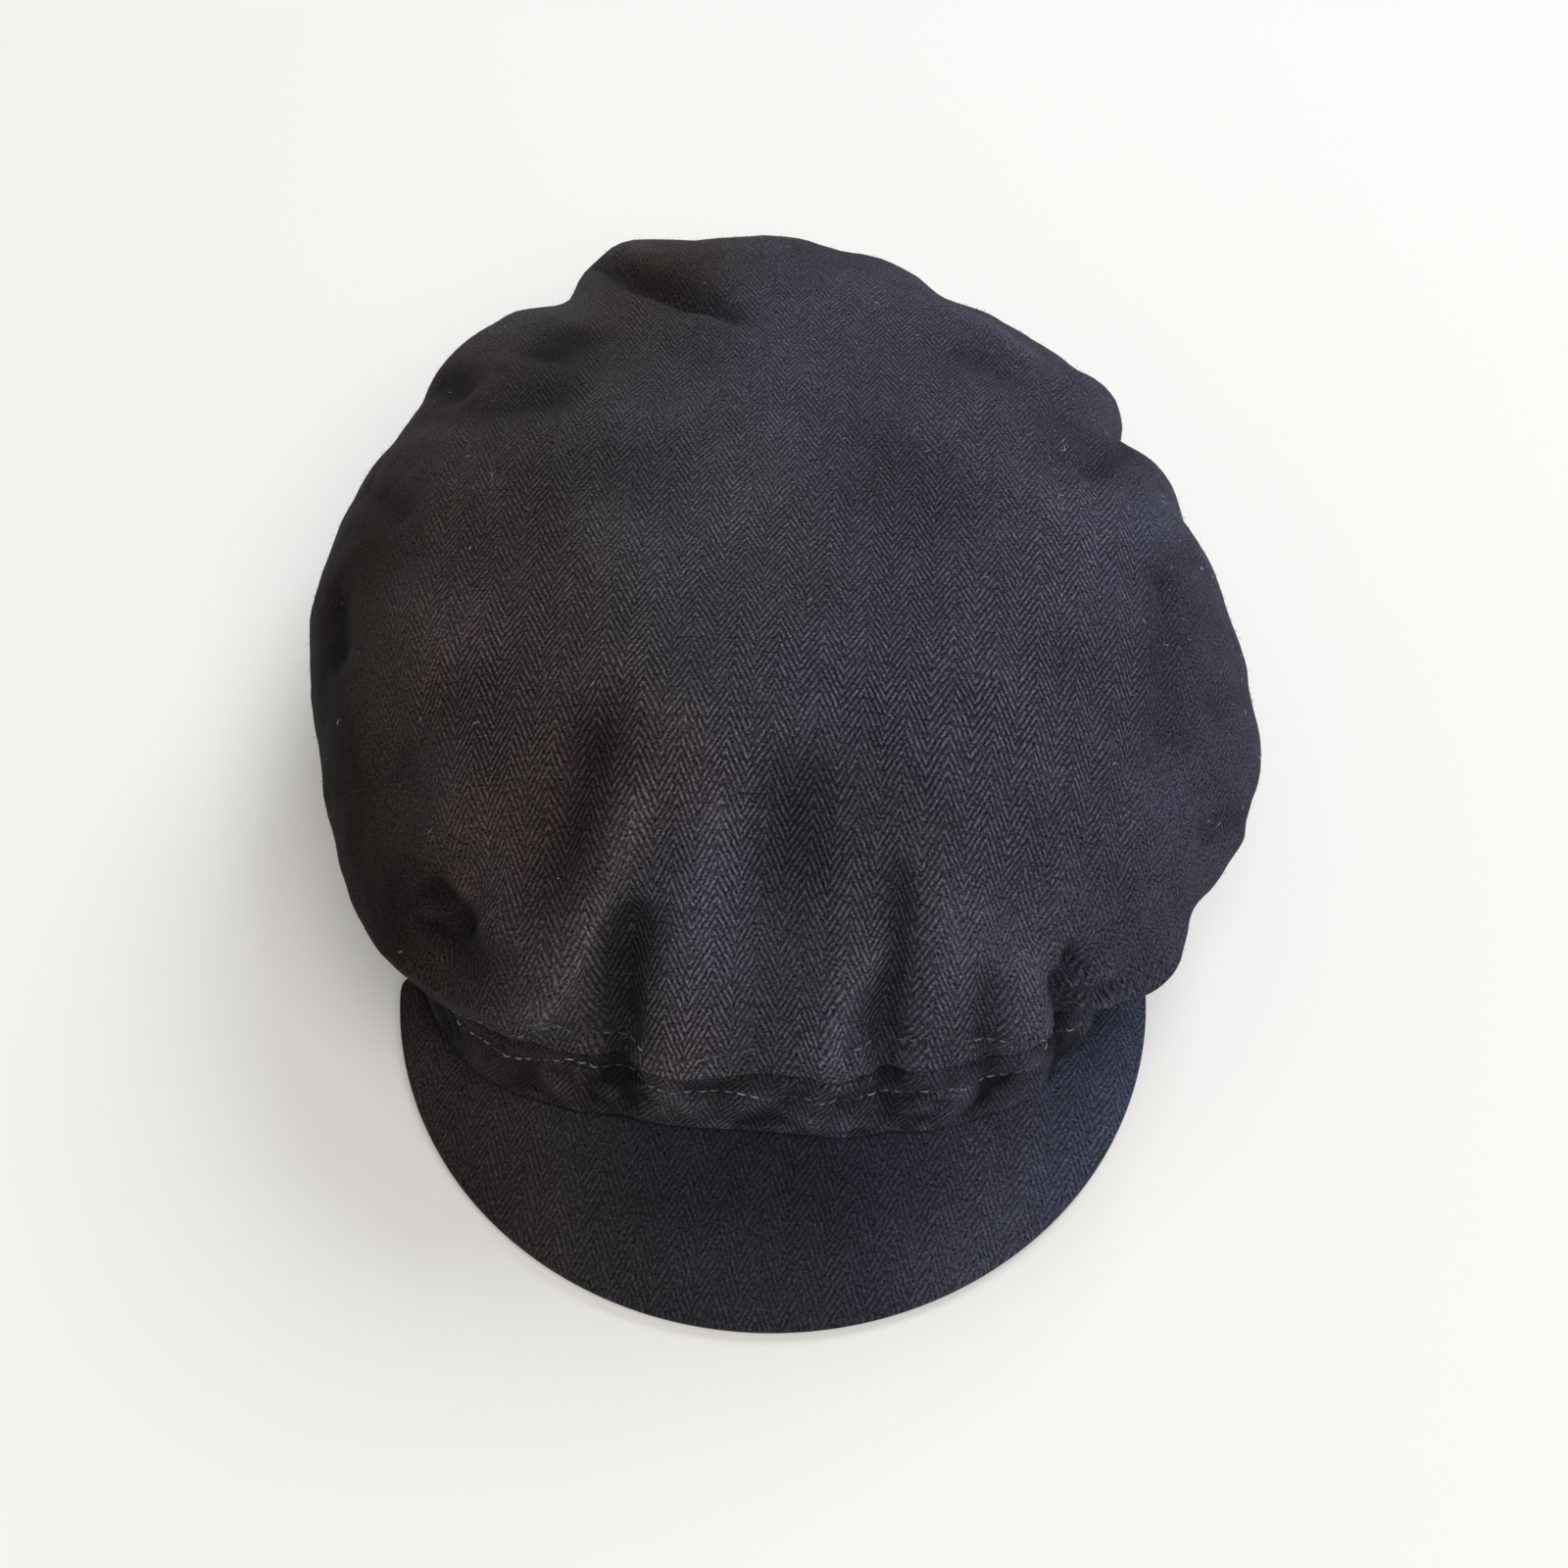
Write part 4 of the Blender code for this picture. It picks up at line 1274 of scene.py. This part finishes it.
def line_over_rows(grid, wanted, from_top):
    """Gives the line that lies a wanted length along each column of the grid, from its first or last row."""
    ordered = grid[::-1] if from_top else grid
    skin = normals_of(grid)
    skin = skin[::-1] if from_top else skin
    run = run_along(ordered)

    def read(field):
        return np.array([[np.interp(wanted, run[:, index], field[:, index, axis]) for axis in range(3)]
                         for index in range(grid.shape[1])])

    return read(ordered), read(skin)


def random_places(grid, count, chance, favour=None):
    """Picks seeded places on a closed grid, evenly by area or by the favour given to each cell."""
    ahead = np.roll(grid, -1, axis=1)
    area = np.linalg.norm(np.cross(ahead[:-1] - grid[:-1], grid[1:] - grid[:-1]), axis=2)
    weight = area if favour is None else area * favour[:-1]
    cells = chance.choice(area.size, size=count, p=(weight / weight.sum()).ravel())
    rows, columns = np.unravel_index(cells, area.shape)
    up, over = chance.uniform(size=(2, count, 1))
    skin = normals_of(grid)

    beside = (columns + 1) % grid.shape[1]

    def read(field):
        near = field[rows, columns] * (1.0 - over) + field[rows, beside] * over
        far = field[rows + 1, columns] * (1.0 - over) + field[rows + 1, beside] * over
        return near * (1.0 - up) + far * up

    return read(grid), read(skin)


def grow_fuzz(name, grid, count, material, seed):
    """Grows the wool's fine short hairs, which stand off the cloth and show at its outline."""
    chance = np.random.default_rng(seed)
    roots, skin = random_places(grid, count, chance)
    lean = unit(skin + chance.normal(size=roots.shape) * HAIR_LEAN)
    curl = chance.normal(size=roots.shape) * HAIR_CURL
    length = chance.uniform(*HAIR_LENGTHS, size=(count, 1)) * MM
    hairs = [roots - skin * HAIR_ROOT, roots + lean * length * HAIR_ELBOW, roots + (lean + curl) * length]
    return threads(name, np.stack(hairs, axis=1), HAIR_RADIUS, HAIR_SIDES, HAIR_ENDS, material)


def lay_fibres(name, roots, skin, lengths, material, seed):
    """Lays short curved fibres flat on the cloth, each by its middle."""
    chance = np.random.default_rng(seed)
    way = unit(np.cross(skin, chance.normal(size=roots.shape)))
    aside = np.cross(skin, way)
    bend = chance.normal(size=(len(roots), 1)) * LINT_BEND
    runs = []
    for place in np.linspace(-0.5, 0.5, LINT_POINTS):
        off = (way * place + aside * bend * (place**2 - LINT_BOW_MIDDLE) * 2.0) * lengths[:, None]
        high = LINT_STANDS + LINT_ARCH * math.cos(3.0 * place)
        runs.append(roots + off + skin * high)
    return threads(name, np.stack(runs, axis=1), LINT_RADIUS, LINT_SIDES, LINT_ENDS, material)


def lint_on(grid, angles, share):
    """Gives the places, normals and lengths of the lint: the pieces that show most, and seeded ones."""
    chance = np.random.default_rng(SEEDS["lint places"])
    at, up = column(LINT, "at"), column(LINT, "up")
    roots = read_grid(grid, angles, share, at, up)
    skin = read_grid(normals_of(grid), angles, share, at, up)
    (right_from, right_over), (back_from, back_over) = LINT_RIGHT, LINT_BACK
    favour = smooth_step((grid[:, :, 0] - right_from) / right_over)
    favour = LINT_LEAST + favour * smooth_step((grid[:, :, 1] - back_from) / back_over)
    more, more_skin = random_places(grid, LINT_MORE, chance, favour * (share > UNDER_SHARE)[:, None])
    strewn = chance.uniform(*LINT_LENGTHS, size=LINT_MORE) ** LINT_LENGTHS_POWER
    lengths = np.concatenate([column(LINT, "long"), strewn]) * MM
    return np.vstack([roots, more]), np.vstack([skin, more_skin]), lengths


def graph(tree):
    """Gives short helpers that add any node, a sum and a noise, with their values and links, to a tree."""

    def put(kind, values, **settings):
        node = tree.nodes.new(kind)
        for name, value in settings.items():
            setattr(node, name, value)
        for socket, value in values.items():
            if isinstance(value, bpy.types.NodeSocket):
                tree.links.new(value, node.inputs[socket])
            else:
                node.inputs[socket].default_value = value
        return node

    def sum_of(operation, first, second=0.0, third=0.0):
        return put("ShaderNodeMath", {0: first, 1: second, 2: third}, operation=operation).outputs[0]

    def noise(place, scale, detail, rough=0.5):
        values = {"Vector": place, "Scale": scale, "Detail": detail, "Roughness": rough}
        return put("ShaderNodeTexNoise", values).outputs["Fac"]

    return put, sum_of, noise


def new_group(name, inputs, outputs):
    """Starts a shader node group with named inputs, which hold their usual values, and named outputs."""
    group = bpy.data.node_groups.new(name, "ShaderNodeTree")
    kinds = {"float": "NodeSocketFloat", "vector": "NodeSocketVector", "colour": "NodeSocketColor"}
    for label, kind, value in inputs:
        socket = group.interface.new_socket(label, in_out="INPUT", socket_type=kinds[kind])
        if value is not None:
            socket.default_value = value
    for label, kind in outputs:
        group.interface.new_socket(label, in_out="OUTPUT", socket_type=kinds[kind])
    return group, group.nodes.new("NodeGroupInput").outputs, group.nodes.new("NodeGroupOutput").inputs


def herringbone_group():
    """Weaves the herringbone: ribs that lean one way in one stripe and the other way in the next."""
    group, given, result = new_group(
        "herringbone weave",
        [("Place", "vector", None), ("Stripe", "float", STRIPE), ("Rib Pitch", "float", RIB_PITCH),
         ("Lean", "float", RIB_LEAN), ("Unevenness", "float", UNEVENNESS)],
        [("Rib", "float"), ("Float", "float"), ("Fibre", "float")],
    )
    put, sum_of, noise = graph(group)
    wander = noise(given["Place"], WANDER_SCALE, 2.0)
    drift = noise(given["Place"], SWAY_SCALE, 1.0)
    split = put("ShaderNodeSeparateXYZ", {0: given["Place"]})
    sway = sum_of("MULTIPLY", sum_of("SUBTRACT", drift, 0.5), STRIPE_SWAY)
    across_cloth = sum_of("ADD", split.outputs["X"], sway)
    folded = sum_of("PINGPONG", across_cloth, given["Stripe"])
    side = sum_of("FLOOR", sum_of("DIVIDE", across_cloth, given["Stripe"]))
    lean_cos, lean_sin = sum_of("COSINE", given["Lean"]), sum_of("SINE", given["Lean"])
    over = sum_of("MULTIPLY", folded, lean_cos)
    down = sum_of("MULTIPLY", split.outputs["Y"], lean_sin)
    broken = put("ShaderNodeTexWhiteNoise", {"W": side}, noise_dimensions="1D").outputs["Value"]
    run = sum_of("ADD", sum_of("DIVIDE", sum_of("SUBTRACT", over, down), given["Rib Pitch"]), broken)
    shaken = sum_of("MULTIPLY", sum_of("SUBTRACT", wander, 0.5), given["Unevenness"])
    run = sum_of("ADD", run, shaken)
    rib = sum_of("MULTIPLY_ADD", sum_of("SINE", sum_of("MULTIPLY", run, 2.0 * math.pi)), 0.5, 0.5)
    one_rib = sum_of("FLOOR", sum_of("ADD", run, 0.25))
    along = sum_of("MULTIPLY_ADD", folded, lean_sin, sum_of("MULTIPLY", split.outputs["Y"], lean_cos))
    stagger = put("ShaderNodeTexWhiteNoise", {"W": one_rib}, noise_dimensions="1D")
    laid = sum_of("DIVIDE", along, YARN_PITCH)
    yarns = sum_of("MULTIPLY_ADD", stagger.outputs["Value"], YARN_STAGGER, laid)
    yarn = sum_of("FLOOR", yarns)
    from_middle = sum_of("ABSOLUTE", sum_of("SUBTRACT", sum_of("FRACT", yarns), 0.5))
    at_end = sum_of("POWER", sum_of("MULTIPLY", from_middle, 2.0), YARN_END_POWER)
    dash = sum_of("MULTIPLY_ADD", at_end, -YARN_END_DARK, 1.0)
    cell = put("ShaderNodeCombineXYZ", {0: one_rib, 1: yarn, 2: side})
    float_tone = put("ShaderNodeTexWhiteNoise", {"Vector": cell.outputs[0]}, noise_dimensions="3D")
    group.links.new(sum_of("MULTIPLY", rib, dash), result["Rib"])
    group.links.new(float_tone.outputs["Value"], result["Float"])
    group.links.new(noise(given["Place"], FIBRE_SCALE, 3.0, FIBRE_ROUGH), result["Fibre"])
    return group


def wool_group(weave):
    """Colours the cloth: light ribs on a dark ground, speckled yarn, a tint of painted shade at the left and
    painted light at the right, painted shade in the creases and patches, and ridges lightened partly by
    rubbing and partly as a painted highlight.
    """
    group, given, result = new_group(
        "charcoal wool",
        [("Place", "vector", None), ("Worn", "float", 0.0), ("Dark", "colour", None),
         ("Light", "colour", None), ("Painted Light Share", "float", 0.5), ("Brushed", "float", 0.0),
         ("Contrast", "float", 1.0), ("Speckle", "float", 0.5), ("Patches", "float", 0.3),
         ("Rubbing And Painted Light Strength", "float", 0.45)],
        [("Colour", "colour"), ("Height", "float")],
    )
    put, sum_of, noise = graph(group)
    woven = put("ShaderNodeGroup", {}, node_tree=weave)
    group.links.new(given["Place"], woven.inputs["Place"])
    rib = put("ShaderNodeMapRange", {"Value": woven.outputs["Rib"], "From Min": 0.25, "From Max": 0.95},
              interpolation_type="SMOOTHSTEP").outputs[0]
    felt = sum_of("MULTIPLY_ADD", noise(given["Place"], FELT_SCALE, 2.0), FELT_RANGE, FELT_LEAST)
    clear = sum_of("MULTIPLY_ADD", given["Brushed"], -BRUSHED_AWAY, felt)
    sharp = sum_of("MULTIPLY", given["Contrast"], clear)
    softened = sum_of("MULTIPLY_ADD", sum_of("SUBTRACT", rib, RIB_MEAN), sharp, RIB_MEAN)
    ribs = put("ShaderNodeMix", {"Factor": softened, "A": given["Dark"], "B": given["Light"]},
               data_type="RGBA")
    specks = sum_of("MULTIPLY", sum_of("SUBTRACT", woven.outputs["Fibre"], 0.5), FIBRE_SPECKS)
    specks = sum_of("MULTIPLY_ADD", sum_of("SUBTRACT", woven.outputs["Float"], 0.5), FLOAT_SPECKS, specks)
    specks = sum_of("MULTIPLY_ADD", specks, given["Speckle"], 1.0)
    patch = sum_of("SUBTRACT", noise(given["Place"], PATCH_SCALE, 3.0), 0.5)
    patches = sum_of("MULTIPLY_ADD", patch, given["Patches"], 1.0)
    # The tone is scaled by the painted shade of creases, hollows and patches, by ridges and patches painted
    # lighter, and by the real rubbing of ridges and of the band's edge
    rubbed = sum_of("MULTIPLY_ADD", given["Worn"], given["Rubbing And Painted Light Strength"], 1.0)
    tone = sum_of("MAXIMUM", sum_of("MULTIPLY", sum_of("MULTIPLY", specks, patches), rubbed), LEAST_TONE)
    # The tint of painted shade at the left and painted light at the right
    painted_light_tint = put("ShaderNodeValToRGB", {"Fac": given["Painted Light Share"]})
    ramp = painted_light_tint.color_ramp.elements
    ramp[0].position, ramp[0].color = PAINTED_LIGHT_COLOURS[0]
    ramp[1].position, ramp[1].color = PAINTED_LIGHT_COLOURS[-1]
    for place, colour in PAINTED_LIGHT_COLOURS[1:-1]:
        ramp.new(place).color = colour
    dyed = put("ShaderNodeVectorMath", {0: ribs.outputs["Result"], 1: painted_light_tint.outputs["Color"]},
               operation="MULTIPLY")
    tinted = put("ShaderNodeVectorMath", {0: dyed.outputs["Vector"], "Scale": tone}, operation="SCALE")
    group.links.new(tinted.outputs["Vector"], result["Colour"])
    raised = sum_of("MULTIPLY_ADD", woven.outputs["Fibre"], FIBRE_RELIEF, sum_of("MULTIPLY", rib, sharp))
    group.links.new(raised, result["Height"])
    return group


def cloth_material(name, wool, light, contrast, speckle, patches, rubbing_and_painted_light_strength):
    """Makes one cloth from the wool group, with its own values."""
    material = bpy.data.materials.new(name)
    material.use_nodes = True
    put = graph(material.node_tree)[0]
    shader = material.node_tree.nodes["Principled BSDF"]
    for label, value in WOOL_FACE.items():
        shader.inputs[label].default_value = value
    place = put("ShaderNodeUVMap", {}, uv_map="cloth")
    cloth = put("ShaderNodeGroup", {}, node_tree=wool)
    links = material.node_tree.links
    links.new(place.outputs["UV"], cloth.inputs["Place"])
    # These marks carry painted light and shade into the cloth
    for label, socket in (("worn", "Worn"), ("faded", "Painted Light Share"), ("brushed", "Brushed")):
        mark = put("ShaderNodeAttribute", {}, attribute_name=label)
        links.new(mark.outputs["Fac"], cloth.inputs[socket])
    values = {"Dark": DARK_WOOL, "Light": light, "Contrast": contrast, "Speckle": speckle,
              "Patches": patches, "Rubbing And Painted Light Strength": rubbing_and_painted_light_strength}
    for label, value in values.items():
        cloth.inputs[label].default_value = value
    raised = put("ShaderNodeBump",
                 {"Strength": 0.8, "Distance": WEAVE_RELIEF, "Height": cloth.outputs["Height"]})
    links.new(cloth.outputs["Colour"], shader.inputs["Base Color"])
    links.new(raised.outputs["Normal"], shader.inputs["Normal"])
    return material


def plain_material(name, colour, roughness):
    material = bpy.data.materials.new(name)
    material.use_nodes = True
    shader = material.node_tree.nodes["Principled BSDF"]
    shader.inputs["Base Color"].default_value = colour
    shader.inputs["Roughness"].default_value = roughness
    return material


def yarn_material(name, colours):
    """Makes a yarn whose tone changes along it, from the darker colour to the lighter."""
    dark, light = colours
    material = plain_material(name, dark, 0.8)
    put, _, noise = graph(material.node_tree)
    tone = noise(put("ShaderNodeTexCoord", {}).outputs["Object"], THREAD_TONE_SCALE, 2.0)
    bright = put("ShaderNodeMapRange", {"Value": tone, "From Min": 0.42, "From Max": 0.66},
                 interpolation_type="SMOOTHSTEP")
    mixed = put("ShaderNodeMix", {"Factor": bright.outputs[0], "A": dark, "B": light}, data_type="RGBA")
    shader = material.node_tree.nodes["Principled BSDF"]
    material.node_tree.links.new(mixed.outputs["Result"], shader.inputs["Base Color"])
    return material


def make_floor():
    corners = [(x * FLOOR_HALF, y * FLOOR_HALF, 0.0) for x, y in ((-1, -1), (1, -1), (1, 1), (-1, 1))]
    mesh = bpy.data.meshes.new("floor")
    mesh.from_pydata(corners, [], [(0, 1, 2, 3)])
    mesh.materials.append(plain_material("pale floor", FLOOR_COLOUR, 0.9))
    link_object("floor", mesh)


def soft_light(name, place, size, power, colour):
    """Hangs a round soft light that faces the cap."""
    data = bpy.data.lights.new(name, "AREA")
    data.shape = "DISK"
    data.size = size
    data.energy = power
    data.color = colour
    light = link_object(name, data)
    light.location = place
    facing = Vector(LIGHTS_FACE) - Vector(place)
    light.rotation_euler = facing.to_track_quat("-Z", "Y").to_euler()


def make_light():
    world = bpy.data.worlds.new("studio")
    world.use_nodes = True
    bpy.context.scene.world = world
    background = world.node_tree.nodes["Background"]
    background.inputs["Color"].default_value = WORLD_COLOUR
    background.inputs["Strength"].default_value = WORLD_STRENGTH
    for light in LIGHTS:
        soft_light(**light)


def make_camera():
    data = bpy.data.cameras.new("camera")
    data.lens = CAMERA_LENS
    data.sensor_width = CAMERA_SENSOR
    camera = link_object("camera", data)
    camera.location = Vector((HEAD_X, HEAD_Y, 0.0)) + Vector(CAMERA_FROM_HEAD)
    camera.rotation_euler = (math.pi / 2 - CAMERA_ELEVATION, 0.0, 0.0)
    bpy.context.scene.camera = camera


make_camera()
weave = herringbone_group()
wool = wool_group(weave)
# The last value of each cloth sets how strongly its painted light and shade, and its rubbing, show
crown_wool = cloth_material("charcoal herringbone crown", wool, CROWN_LIGHT_WOOL,
                            contrast=0.80, speckle=1.40, patches=0.45, rubbing_and_painted_light_strength=0.50)
band_wool = cloth_material("charcoal herringbone band", wool, BAND_LIGHT_WOOL,
                           contrast=0.85, speckle=1.20, patches=0.90, rubbing_and_painted_light_strength=0.85)
peak_wool = cloth_material("charcoal herringbone peak", wool, PEAK_LIGHT_WOOL,
                           contrast=0.48, speckle=1.15, patches=0.50, rubbing_and_painted_light_strength=0.55)
dark_thread = yarn_material("dark sewing thread", DARK_THREAD)
pale_thread = yarn_material("faded sewing thread", PALE_THREAD)

crown, crown_grid, crown_angles, crown_share, crown_places = make_crown(crown_wool)
band, band_grid = make_band(band_wool)
make_peak(peak_wool)
line, outward = line_over_rows(crown_grid, CROWN_STITCHES_UP, from_top=False)
crown_stitches = stitch_row("crown_stitches", line, outward, dark_thread,
                            SEEDS["crown stitches"])
line, outward = line_over_rows(band_grid, BAND_STITCHES_DOWN, from_top=True)
stitch_row("band_stitches", line, outward, pale_thread, SEEDS["band stitches"])
hair = plain_material("wool hair", HAIR_COLOUR, 0.9)
crown_hairs = grow_fuzz("crown_hairs", crown_grid, HAIRS, hair, SEEDS["hairs"])
lint = yarn_material("pale lint", PALE_LINT)
roots, skin, lengths = lint_on(crown_grid, crown_angles, crown_share)
crown_lint = lay_fibres("crown_lint", roots, skin, lengths, lint, SEEDS["lint"])

# The crown's cloth: its own area, summed over its cells
across, up = np.roll(crown_grid, -1, axis=1)[:-1] - crown_grid[:-1], crown_grid[1:] - crown_grid[:-1]
cut_area = np.linalg.norm(np.cross(across, up), axis=2).sum()
make_floor()
make_light()
bpy.context.scene.view_settings.view_transform = "Standard"
